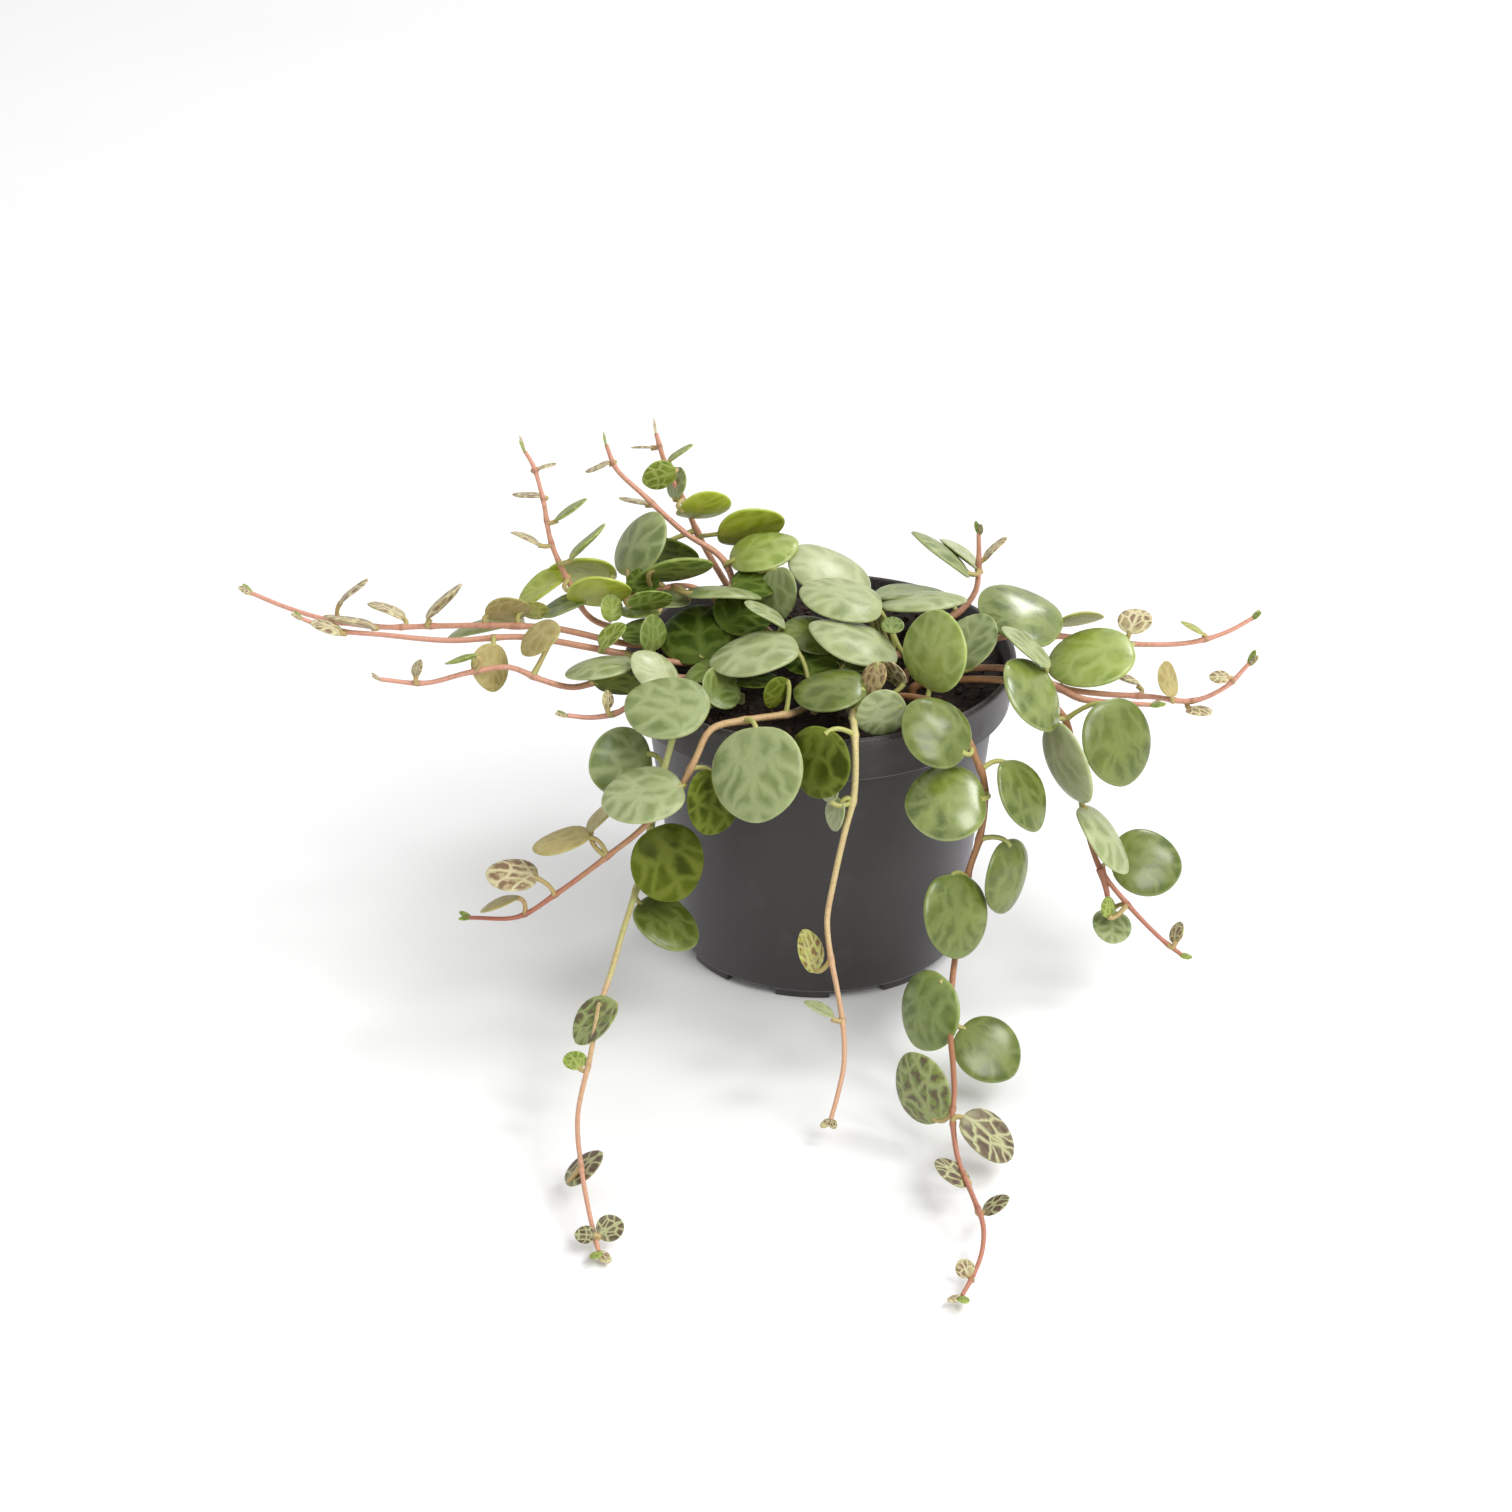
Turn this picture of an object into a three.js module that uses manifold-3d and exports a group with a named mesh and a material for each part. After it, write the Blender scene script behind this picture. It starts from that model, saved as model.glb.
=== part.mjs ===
// Potted string of turtles (Peperomia prostrata) in a round nursery pot.
//
// Millimetres, +Z up. The origin is the middle of the pot's underside, on the surface that it
// stands on, and -Y is the front, where the longest strings hang over the rim.
//
// The pot is a thin moulded shell, the soil fills it to just below the rim, and each string of
// the plant is a stem of its own with its leaf stalks. A full-grown leaf is a piece of its own
// beside its stalk, and the young leaves of a string are one piece with their stem.

import * as THREE from 'three';
import { mergeVertices } from 'three/addons/utils/BufferGeometryUtils.js';
import Module from 'manifold-3d';

// ---------------------------------------------------------------- driving dimensions, in mm
const POT_HEIGHT = 48.3;
const RIM_RADIUS = 30; // outside, at the lip
const BAND_HEIGHT = 7.1; // the thicker band under the lip
const BAND_TAPER = 0.9; // how much narrower the band is at its lower edge
const STEP = 2.3; // how far the wall stands in from the band's lower edge
const BASE_RADIUS = 22.2;
const WALL = 0.9;
const FLOOR = 1.4;
const EDGE = 0.4; // the chamfers of the lip, the band and the heel
const FOOT_HEIGHT = 1.1;
const FOOT_WIDTH = 2.4;
const FOOT_COUNT = 8;
const FOOT_SHARE = 0.5; // the part of the ring that is foot, the rest is notch
const FOOT_TURN = 60; // degrees, from +X to the middle of the first notch
const CENTRE_PAD_RADIUS = 3.5;
const DRAIN_COUNT = 6;
const DRAIN_RADIUS = 2;
const DRAIN_CIRCLE = 12;
const DRAIN_SIDES = 16;
const PAD_SIDES = 20;

const GAP = 0.3; // between pieces that would touch
const SOIL_BELOW_RIM = 2.7;
const SOIL_BUMP = 0.35;
const SOIL_SIDES = 28;
const SOIL_RINGS = [0.9, 0.7, 0.5, 0.3, 0.12]; // shares of the soil's radius, outermost first
const SOIL_WAVES = [[0.9, 0.4], [-0.3, 0.7]]; // radians per mm of the two waves of its top

const STEM_RADIUS = 0.65;
const STEM_SIDES = 5;
const STEM_STEP = 4; // length of one straight piece of a stem
const TIP_SHARE = 0.6; // a stem's radius at its tip, as a part of STEM_RADIUS
const STALK_RADIUS = 0.42;
const STALK_SIDES = 3;
const STALK_STEPS = 2;
const STALK_LEAD = 1.6; // how far behind the leaf's edge a stalk starts to turn into it
const STALK_LEAN = 0.25; // and how far that turn leans back to the stem, as a share
const STALK_REACH = 0.3; // how far a stalk runs into a young leaf, as a part of its length
const STALK_PLACES = 120; // places along a stem where a stalk may start

const LEAF_TOP = 0.85; // how far a full-grown leaf bulges above its edge
const LEAF_UNDER = 0.55; // and below it
const LEAF_WIDTH_SHARE = 0.94; // width over length
const LEAF_BROADER = 0.1; // how much broader the leaf is towards its stalk
const LEAF_SHOULDER = [0.68, 0.72]; // the ring between middle and edge: share out, share up
const LEAF_SIDES = 12;
const YOUNG_SIDES = 8;
const LEAFLET_BULGE = 0.09; // a young leaf's bulge each way, as a part of its length

const ROUND_SIDES = 36; // sides of the round pieces
const SPECK = 0.001; // mm3, what a join may leave where two faces all but meet

// ---------------------------------------------------------------- the plant's layout
// The places below are laid out round a pot of this size. On another pot they move with the rim.
const LAYOUT = { radius: 30, height: 48.3 };

// One entry for each string. `root` is where it leaves the soil, `route` is the line of its
// stem from there, and `forks` are side shoots. A leaf is
//   [x, y, z, length, facing, tilt, turn]
// with its middle at x, y, z. Its upper side faces the compass direction `facing`, in degrees
// from the front towards +X, and `tilt` degrees up. `turn` is where its tip points within its
// own plane, anticlockwise from level. `leaves` are full grown, `young` are small.
const STRINGS = [
  {
    name: 'left_long',
    root: [-12, 4],
    route: [[-22, 1, 48.9], [-30, -3, 51.5], [-40, -3, 53.9], [-48, -2.5, 54.2], [-58, -2, 53.9],
      [-67, -1.5, 53.5], [-75, -1, 54.5], [-81, 0, 56], [-86.5, 1, 58]],
    leaves: [
      [-18.5, 0, 52.2, 12.2, -10, 70, 105],
      [-51.5, 5.5, 50.7, 12, -150, 65, -25],
    ],
    young: [
      [-47.5, -1, 56, 7, -170, 35, 170],
      [-57, -1, 57.2, 7.6, -105, 45, 120],
      [-71, 0, 58.8, 5.8, -105, 50, 120],
      [-66, 1, 55.2, 6, 120, 65, 50],
      [-71, -4, 55.5, 8, 150, 65, 30],
    ],
  },
  {
    name: 'left_mid',
    root: [-14, -3],
    route: [[-25, -5, 49.6], [-35, -6, 52.2], [-45, -5.5, 53.7], [-56, -6.5, 53.6],
      [-66, -7, 54.8], [-74, -6, 55.2], [-78, -6, 57]],
    leaves: [
      [-33, -12.4, 52.1, 10.2, -135, 78, -40],
    ],
    young: [
      [-49.5, -9.5, 50.6, 7.2, -130, -20, -65],
      [-74, -8.5, 56.8, 4.8, 100, 70, 70],
      [-25.5, -7, 55, 5.6, 50, 10, 75],
    ],
  },
  {
    name: 'left_low',
    root: [-14, -8],
    route: [[-24, -10, 49.2], [-30.5, -10, 49.5], [-37, -11.5, 48.2], [-42, -12.5, 50],
      [-46.5, -12.5, 52], [-52.5, -13, 51.4], [-59, -15, 50.6], [-65.5, -16, 51.7]],
    leaves: [],
    young: [
      [-42, -10.5, 56, 6.9, -60, 55, -95],
      [-60, -15, 53, 2.8, -60, 30, 110],
      [-53.5, -13.5, 53.6, 5, -140, 65, -35],
      [-24.5, -15.5, 53, 8, 60, 55, 95],
    ],
  },
  {
    name: 'upright_left',
    root: [-17, 7],
    route: [[-27, 5, 49.4], [-35, 3.5, 52.5], [-38, 2.5, 58.5], [-40.8, 3, 65.5],
      [-41.9, 4, 72.3], [-43.3, 5, 77.4], [-44.4, 5, 79.5]],
    leaves: [
      [-36.5, 8.5, 58.2, 10.6, 180, 45, 0],
      [-33.6, -1.8, 59.8, 9.6, -175, 40, -175],
    ],
    young: [
      [-44.2, 5, 72.3, 4.6, 170, 75, 15],
      [-37.8, 4, 70.4, 5.8, -105, 55, 115],
      [-44.5, 3, 66.2, 4.9, 120, 60, 55],
      [-35.3, 2, 65.9, 7.6, -105, 45, 120],
      [-41.4, 6, 76.8, 3, -125, 70, 130],
      [-42.5, 4, 57.4, 8, -80, 60, -90],
    ],
  },
  {
    name: 'crown_left',
    root: [-9, 3],
    route: [[-14, 7.5, 52], [-19.5, 7.5, 56], [-23.5, 4, 57.6], [-28, 2.5, 57.6], [-32, 2.5, 55.8]],
    leaves: [
      [-21.8, 2.5, 61.4, 11, -165, 50, -150],
      [-14.8, 1.5, 57.9, 11.5, 170, 70, -150],
      [-28, 9, 62.8, 10.8, -60, 40, 110],
    ],
    young: [
      [-25.8, -3.5, 58.8, 6.8, -168, 40, 168],
    ],
  },
  {
    name: 'upright_mid',
    root: [-7, 8],
    route: [[-12, 9, 52], [-15, 12, 58.6], [-21, 13, 62.8], [-27.5, 14, 68.9],
      [-31.3, 14, 73], [-32.7, 14, 76.9]],
    leaves: [
      [-9, 11.5, 60.8, 10.8, -60, 75, 75],
    ],
    young: [
      [-34, 14, 73.1, 4, -115, 65, -60],
      [-28.8, 16, 66.6, 4.6, 145, 70, 30],
      [-6.4, 3, 57, 8.2, -50, 20, -65],
    ],
  },
  {
    name: 'upright_back',
    root: [-11, 16],
    route: [[-15, 18.5, 52], [-18.5, 20, 58], [-21, 19.5, 64.5], [-24, 19.5, 71.5],
      [-25.3, 19.5, 76.5]],
    leaves: [
      [-11, 18.5, 61.2, 10.6, -165, 35, 175],
      [-24, 16.5, 57.5, 10, 170, 35, 170],
    ],
    young: [
      [-18, 15.5, 65.6, 8.6, -165, 40, -165],
      [-24.8, 17, 70.6, 5.4, -165, 15, -15],
      [-27.6, 20.5, 73.8, 3.4, 180, 70, 0],
      [-21.7, 20.5, 72.8, 4.6, -105, 55, 120],
    ],
  },
  {
    name: 'upright_right',
    root: [17, 11],
    route: [[22, 13, 49.6], [24.2, 14, 52.5], [24.6, 15, 57], [24.5, 15, 61.7]],
    leaves: [
      [14, 13.5, 51.9, 12, 170, 75, 25],
      [19.2, 15, 58.6, 11.2, 110, 50, 55],
    ],
    young: [
      [27, 16, 58.8, 5, -100, 45, 115],
    ],
  },
  {
    name: 'right_high',
    root: [9, 1],
    route: [[20, -1, 49.2], [30, 1, 51], [40, 1, 50.4], [48, 0, 49.9], [56.5, 0.5, 49.9],
      [62, 1, 51.4], [66, 2, 53.3]],
    leaves: [
      [1.6, 9, 58.1, 13.4, 65, 65, 80],
      [3.4, -1.5, 58.4, 12.6, 70, 78, 105],
      [30.5, -3, 56.7, 13.2, 50, 68, 105],
      [41, -6, 50.8, 13.2, -40, 72, -130],
      [15.4, 2.9, 56, 13.2, -165, 75, 165],
    ],
    young: [
      [39.4, 1.6, 53.5, 7.4, -165, 50, 170],
      [48, 0.5, 53.6, 5.2, -15, 68, 80],
      [57, 1.5, 51.9, 4.2, 110, 60, 60],
    ],
  },
  {
    name: 'right_low',
    root: [13, -4],
    route: [[22, -7, 49.2], [30, -9, 49.8], [36.5, -9.5, 47.1], [42.5, -9.5, 46.1],
      [50, -10.5, 46.1], [56, -11.5, 45.9], [61, -11.5, 48.3], [64.3, -10.5, 51.6]],
    forks: [
      [[36, -9.5, 47.2], [39, -12.5, 46.8], [43, -13.4, 46.6], [49.5, -14.2, 46.6]],
    ],
    leaves: [],
    young: [
      [52.2, -11, 49.2, 5.4, -120, -25, 110],
      [60, -11, 49.6, 3, 0, 75, 180],
      [57, -12.5, 44.8, 4, 180, 85, 140],
      [46.2, -8, 47.6, 4.5, 125, 65, 50],
      [22.8, -10.5, 55.2, 9, -45, 45, 90],
    ],
  },
  {
    name: 'right_down',
    root: [14, -9],
    route: [[25, -12.5, 50], [32, -14, 49.4], [36, -14.5, 45.5], [37.3, -15.2, 43.2],
      [38.3, -16, 37.5], [39.4, -17, 31.8], [41, -19.3, 25.3], [42.6, -21, 21.8],
      [47.2, -23, 16.4], [51.8, -25, 12.2], [54.7, -26, 10.2]],
    forks: [
      [[42.4, -20.8, 22.2], [43.2, -21.6, 19.5], [43.8, -22, 16.5]],
    ],
    leaves: [
      [31.8, -19, 51, 12, 65, 40, -115],
      [44.3, -20, 43.4, 12.9, 40, 25, -95],
      [36.6, -20.5, 40, 12.8, -60, -10, -55],
      [43, -23, 29, 12, 85, 40, -110],
      [49.6, -17.5, 21.6, 10.8, 15, 50, -15],
    ],
    young: [
      [44.2, -22.5, 13, 6, 25, 60, -115],
      [54, -24.5, 13.2, 3.4, -70, 30, 125],
    ],
  },
  {
    name: 'front_right',
    root: [10, -13],
    route: [[16.5, -20, 49.9], [20.6, -25.6, 49], [22.6, -27.6, 45], [24, -28.5, 41.7],
      [24.2, -29.5, 37], [23.5, -30.5, 32.5], [22, -32, 28], [20.8, -34.5, 22], [20, -37.5, 16.8],
      [19.4, -41.5, 13.8], [19, -49, 10.6], [19.2, -56, 9],
      [19.2, -62, 8.3], [18.8, -68, 7.6], [19.4, -77, 6.2],
      [21.2, -84.5, 5.2], [22.4, -90, 4.2], [22, -95, 3], [20.5, -99.5, 2], [19.1, -102.5, 1.3]],
    leaves: [
      [17, -17.5, 57, 12, -45, 15, 90],
      [17.2, -30, 50.2, 11, 35, 45, 120],
      [18.5, -33.5, 40.4, 11.7, 0, 50, -175],
      [29.6, -30.5, 40, 11.2, 65, 35, -110],
      [28.2, -31.5, 26.7, 11.1, 55, 5, -100],
      [19.9, -38.2, 24, 12.3, 45, 25, -105],
      [15.4, -46, 12.2, 11.6, -50, 20, -100],
      [24.5, -50.5, 8.4, 10.2, 25, 50, -60],
      [14.2, -63, 9.2, 10.6, -45, 5, 130],
    ],
    young: [
      [23.6, -70.5, 6.2, 9, 65, 55, -90],
      [18.4, -80, 6.2, 5.6, 85, 60, 80],
      [24.2, -86, 5, 4.2, -90, 60, 105],
      [19.6, -98.5, 3, 2.6, 0, 45, 120],
    ],
  },
  {
    name: 'front_mid',
    root: [2, -10],
    route: [[4, -18, 48.6], [4.8, -26, 50.2], [5, -30.2, 49.6], [5.1, -32.4, 46.2],
      [4.9, -32.8, 41], [3.5, -34, 35.2], [1.8, -36, 27.5], [1, -38, 23.2], [1.4, -42, 19.9],
      [2.4, -46, 16.2], [3.3, -51, 12.6], [3.4, -56, 9.2], [2.6, -59, 6.4], [1.5, -62, 3.6]],
    leaves: [
      [5.4, -10, 55.6, 14, 95, 70, 75],
      [1.5, -21, 52.8, 10.8, -45, 80, -145],
      [-0.4, -32.8, 46.4, 10.4, -35, 15, -95],
    ],
    young: [
      [-1.2, -6.5, 54.6, 8.8, 40, 72, 125],
      [9, -26.2, 51.2, 7.6, -170, 5, -20],
      [-1.8, -41, 19.4, 6.4, 65, 25, 80],
      [-0.2, -50, 14.6, 5, 115, 60, 55],
      [10.8, -19.5, 54.4, 5, 140, 20, 35],
    ],
  },
  {
    name: 'front_left',
    root: [-12, -12],
    route: [[-16.5, -19, 48.8], [-20.5, -24.4, 49.2], [-22.6, -27, 44], [-24.5, -28, 36],
      [-26.9, -30, 25.8], [-29.3, -38, 20.5], [-30.7, -44, 17.5], [-32.2, -49, 14.6],
      [-33.2, -57, 11.3], [-34.5, -68, 8], [-33.5, -78, 5.8], [-32, -86, 3.4], [-30.5, -92, 1.3]],
    leaves: [
      [-22.5, -25, 51.6, 12.3, -5, 70, 160],
      [-29.2, -23.5, 41.6, 10.2, 30, 20, -175],
      [-22.6, -31.4, 29, 11.4, 25, 20, -75],
      [-23, -31, 18.6, 10.5, 60, 60, -85],
    ],
    young: [
      [-32.4, -51, 13.2, 8.2, -65, 50, -90],
      [-35.4, -58, 11, 3.4, 0, 70, 120],
      [-33.2, -76.5, 4.6, 6.6, -85, 55, 105],
      [-29, -89, 3, 3.8, 0, 50, 30],
      [-32.4, -90, 2.6, 2.8, 0, 65, 180],
    ],
  },
  {
    name: 'left_down',
    root: [-1, -15],
    route: [[-4.3, -22, 49], [-10, -25.5, 49.8], [-16, -28, 49.4], [-18.2, -30, 45.8],
      [-20.5, -31, 41.4], [-26.6, -33, 35.2], [-30.5, -33.5, 32], [-34.3, -34, 29],
      [-39.3, -34, 25], [-44.9, -33.5, 21], [-52.2, -32, 20]],
    leaves: [
      [-9.8, -13, 54.9, 13.3, -85, 80, -90],
      [-9.3, -35.5, 46.2, 13.9, -25, 35, -75],
      [-25.8, -33.9, 41.8, 12, -20, 75, -145],
    ],
    young: [
      [-16.2, -31.8, 39.4, 9.4, 45, 25, -125],
      [-6.2, -22.5, 52.6, 5, -140, 5, -50],
      [-38, -33, 33.4, 8.6, -105, 75, -65],
      [-45.4, -34, 28.6, 7.6, 20, 80, 155],
      [-47.6, -33.5, 23.4, 6, -125, 65, -45],
    ],
  },
  {
    name: 'left_short',
    root: [-18, -10],
    route: [[-22, -14, 49], [-26.2, -17, 50], [-29.8, -18.5, 47.6], [-34, -18.5, 46.6],
      [-37.6, -19, 47.2]],
    leaves: [],
    young: [
      [-31.6, -18.6, 49.6, 2.8, 60, 15, 65],
      [-15, -17, 50.6, 6.6, 45, 40, 25],
    ],
  },
];

// ---------------------------------------------------------------- solids
const wasm = await Module();
wasm.setup();

const radians = THREE.MathUtils.degToRad;

// A closed three.js geometry as a manifold-3d solid.
function solidOf(geometry) {
  const bare = geometry.index ? geometry.toNonIndexed() : geometry.clone();
  bare.deleteAttribute('normal');
  bare.deleteAttribute('uv');
  const merged = mergeVertices(bare, 1e-4);
  return new wasm.Manifold(new wasm.Mesh({
    numProp: 3,
    vertProperties: new Float32Array(merged.attributes.position.array),
    triVerts: new Uint32Array(merged.index.array),
  }));
}

// And back.
function geometryOf(solid) {
  const mesh = solid.getMesh();
  const geometry = new THREE.BufferGeometry();
  geometry.setAttribute('position', new THREE.BufferAttribute(mesh.vertProperties, 3));
  geometry.setIndex(new THREE.BufferAttribute(mesh.triVerts, 1));
  geometry.computeVertexNormals();
  return geometry;
}

// A closed solid of revolution about Z from [radius, height] points, anticlockwise.
function turned(profile, sides = ROUND_SIDES) {
  const points = profile.map(([radius, height]) => new THREE.Vector2(radius, height));
  return new THREE.LatheGeometry(points, sides).rotateX(Math.PI / 2);
}

function cylinder(radius, low, high, sides, x = 0, y = 0) {
  return new THREE.CylinderGeometry(radius, radius, high - low, sides)
    .rotateX(Math.PI / 2)
    .translate(x, y, (low + high) / 2);
}

// A tube along a curve that narrows from one radius to another.
function tube(curve, radius, endRadius, sides, steps) {
  const ring = new THREE.Shape();
  for (let side = 0; side < sides; side += 1) {
    const angle = (side / sides) * Math.PI * 2;
    const at = [Math.cos(angle) * radius, Math.sin(angle) * radius];
    if (side === 0) ring.moveTo(...at);
    else ring.lineTo(...at);
  }
  ring.closePath();
  const geometry = new THREE.ExtrudeGeometry(ring, {
    steps, extrudePath: curve, bevelEnabled: false, curveSegments: 1,
  });
  const middles = curve.getSpacedPoints(steps);
  const positions = geometry.attributes.position;
  const point = new THREE.Vector3();
  for (let i = 0; i < positions.count; i += 1) {
    point.fromBufferAttribute(positions, i);
    let nearest = 0;
    middles.forEach((middle, step) => {
      if (middle.distanceTo(point) < middles[nearest].distanceTo(point) - 1e-6) nearest = step;
    });
    const share = THREE.MathUtils.lerp(1, endRadius / radius, nearest / steps);
    point.sub(middles[nearest]).multiplyScalar(share).add(middles[nearest]);
    positions.setXYZ(i, point.x, point.y, point.z);
  }
  return geometry;
}

// A lens-shaped leaf in its own frame: tip along +X, upper side along +Z. The outline is an
// ellipse that is a little broader towards the stalk. Each ring is [share of the outline, height].
function lens(length, rings, sides) {
  const vertices = [];
  const faces = [];
  const circle = [];
  for (let side = 0; side < sides; side += 1) {
    const angle = (side / sides) * Math.PI * 2;
    const across = Math.sin(angle) * (1 - LEAF_BROADER * Math.cos(angle));
    circle.push([Math.cos(angle) * length / 2, across * length * LEAF_WIDTH_SHARE / 2]);
  }
  rings.forEach(([share, height]) => {
    if (share === 0) vertices.push([0, 0, height]);
    else circle.forEach(([x, y]) => vertices.push([x * share, y * share, height]));
  });
  const last = vertices.length - 1;
  const rows = rings.length - 2;
  for (let side = 0; side < sides; side += 1) {
    const next = (side + 1) % sides;
    faces.push([0, 1 + side, 1 + next]);
    for (let row = 0; row < rows - 1; row += 1) {
      const upper = 1 + row * sides;
      const lower = upper + sides;
      faces.push([upper + side, lower + side, lower + next]);
      faces.push([upper + side, lower + next, upper + next]);
    }
    const rim = 1 + (rows - 1) * sides;
    faces.push([rim + side, last, rim + next]);
  }
  const geometry = new THREE.BufferGeometry();
  geometry.setAttribute('position', new THREE.Float32BufferAttribute(vertices.flat(), 3));
  geometry.setIndex(faces.flat());
  geometry.computeVertexNormals();
  return geometry;
}

function grownLeaf(length) {
  const [out, up] = LEAF_SHOULDER;
  return lens(length, [
    [0, LEAF_TOP], [out, LEAF_TOP * up], [1, 0], [out, -LEAF_UNDER * up], [0, -LEAF_UNDER],
  ], LEAF_SIDES);
}

function youngLeaf(length) {
  const bulge = length * LEAFLET_BULGE;
  return lens(length, [[0, bulge], [1, 0], [0, -bulge]], YOUNG_SIDES);
}

// ---------------------------------------------------------------- places
// A place of the layout on this pot: inside the rim it spreads with the radius, outside it keeps
// its distance from the rim, above the rim it keeps its height over it, and below the rim it
// keeps its share of the way down to the floor.
function onPot([x, y, z]) {
  const out = Math.hypot(x, y);
  const spread = out < LAYOUT.radius
    ? RIM_RADIUS / LAYOUT.radius
    : (out + RIM_RADIUS - LAYOUT.radius) / out;
  const height = z > LAYOUT.height
    ? z + POT_HEIGHT - LAYOUT.height
    : z * POT_HEIGHT / LAYOUT.height;
  return new THREE.Vector3(x * spread, y * spread, height);
}

const SOIL_LEVEL = POT_HEIGHT - SOIL_BELOW_RIM;
const ROOT_HEIGHT = SOIL_LEVEL + SOIL_BUMP + GAP + STEM_RADIUS;

function stemCurve(string) {
  const root = onPot([...string.root, 0]).setZ(ROOT_HEIGHT);
  return new THREE.CatmullRomCurve3([root, ...string.route.map(onPot)], false, 'centripetal');
}

// The matrix that carries a leaf from its own frame to its place.
function leafPlace([x, y, z, , facing, tilt, turn]) {
  const place = new THREE.Matrix4().setPosition(onPot([x, y, z]));
  place.multiply(new THREE.Matrix4().makeRotationZ(radians(facing)));
  place.multiply(new THREE.Matrix4().makeRotationX(radians(90 - tilt)));
  place.multiply(new THREE.Matrix4().makeRotationZ(radians(turn)));
  return place;
}

// A stalk from the nearest point of the stem to a leaf's edge. It runs into a young leaf, which
// is one piece with it, and stops short of a full-grown one.
function stalk(curve, leaf, reach) {
  const place = leafPlace(leaf);
  const edge = new THREE.Vector3(-leaf[3] / 2 + reach, 0, 0).applyMatrix4(place);
  const before = new THREE.Vector3(-leaf[3] / 2 - STALK_LEAD, 0, 0).applyMatrix4(place);
  const stemPoints = curve.getSpacedPoints(STALK_PLACES);
  let nearest = stemPoints[0];
  stemPoints.forEach((point) => {
    if (point.distanceTo(edge) < nearest.distanceTo(edge)) nearest = point;
  });
  const path = new THREE.QuadraticBezierCurve3(nearest, before.lerp(nearest, STALK_LEAN), edge);
  return tube(path, STALK_RADIUS, STALK_RADIUS, STALK_SIDES, STALK_STEPS);
}

// ---------------------------------------------------------------- pieces
const BAND_LOW = POT_HEIGHT - BAND_HEIGHT;
const BAND_RADIUS = RIM_RADIUS - BAND_TAPER;
const WALL_RADIUS = BAND_RADIUS - STEP;
const INSIDE_LOW = FOOT_HEIGHT + FLOOR;

function makePot() {
  const shell = solidOf(turned([
    [0, FOOT_HEIGHT],
    [BASE_RADIUS - EDGE, FOOT_HEIGHT],
    [BASE_RADIUS, FOOT_HEIGHT + EDGE],
    [WALL_RADIUS, BAND_LOW - EDGE],
    [BAND_RADIUS, BAND_LOW],
    [RIM_RADIUS, POT_HEIGHT - EDGE],
    [RIM_RADIUS - EDGE, POT_HEIGHT],
    [RIM_RADIUS - WALL, POT_HEIGHT],
    [BAND_RADIUS - WALL, BAND_LOW + WALL],
    [WALL_RADIUS - WALL, BAND_LOW - EDGE],
    [BASE_RADIUS - WALL, INSIDE_LOW + EDGE],
    [BASE_RADIUS - WALL - EDGE, INSIDE_LOW],
    [0, INSIDE_LOW],
  ]));
  const sunk = FOOT_HEIGHT + FLOOR / 2;
  let foot = solidOf(turned([
    [BASE_RADIUS - FOOT_WIDTH, 0],
    [BASE_RADIUS - EDGE, 0],
    [BASE_RADIUS - EDGE, sunk],
    [BASE_RADIUS - FOOT_WIDTH, sunk],
    [BASE_RADIUS - FOOT_WIDTH, 0],
  ]));
  const pitch = 360 / FOOT_COUNT;
  const notch = 2 * BASE_RADIUS * Math.sin(radians(pitch * (1 - FOOT_SHARE)) / 2);
  for (let index = 0; index < FOOT_COUNT; index += 1) {
    const cut = new THREE.BoxGeometry(FOOT_WIDTH * 3, notch, FOOT_HEIGHT * 2)
      .translate(BASE_RADIUS, 0, 0)
      .rotateZ(radians(FOOT_TURN + index * pitch));
    foot = foot.subtract(solidOf(cut));
  }
  let pot = shell.add(foot).add(solidOf(cylinder(CENTRE_PAD_RADIUS, 0, sunk, PAD_SIDES)));
  for (let index = 0; index < DRAIN_COUNT; index += 1) {
    const angle = (index / DRAIN_COUNT) * Math.PI * 2;
    const [x, y] = [Math.cos(angle) * DRAIN_CIRCLE, Math.sin(angle) * DRAIN_CIRCLE];
    const hole = cylinder(DRAIN_RADIUS, 0, INSIDE_LOW + GAP, DRAIN_SIDES, x, y);
    pot = pot.subtract(solidOf(hole));
  }
  return geometryOf(pot);
}

// The soil fills the pot a gap away from its wall, and its top is gently uneven.
function makeSoil() {
  const inside = (height) => THREE.MathUtils.mapLinear(
    height, INSIDE_LOW, BAND_LOW, BASE_RADIUS - WALL - GAP, WALL_RADIUS - WALL - GAP);
  const low = INSIDE_LOW + GAP;
  const top = BAND_RADIUS - WALL - GAP;
  const profile = [
    [0, low],
    [inside(low) - EDGE, low],
    [inside(BAND_LOW) - EDGE, BAND_LOW],
    [top, BAND_LOW + WALL + EDGE],
    [top, SOIL_LEVEL - SOIL_BUMP * 2],
  ];
  SOIL_RINGS.forEach((share) => profile.push([top * share, SOIL_LEVEL]));
  profile.push([0, SOIL_LEVEL]);
  const geometry = turned(profile, SOIL_SIDES);
  const positions = geometry.attributes.position;
  for (let i = 0; i < positions.count; i += 1) {
    const [x, y, z] = [positions.getX(i), positions.getY(i), positions.getZ(i)];
    const [first, second] = SOIL_WAVES.map(([alongX, alongY]) => x * alongX + y * alongY);
    const bump = Math.sin(first) * Math.cos(second);
    if (z === Math.fround(SOIL_LEVEL)) positions.setZ(i, z + SOIL_BUMP * bump);
  }
  return geometryOf(solidOf(geometry));
}

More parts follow.
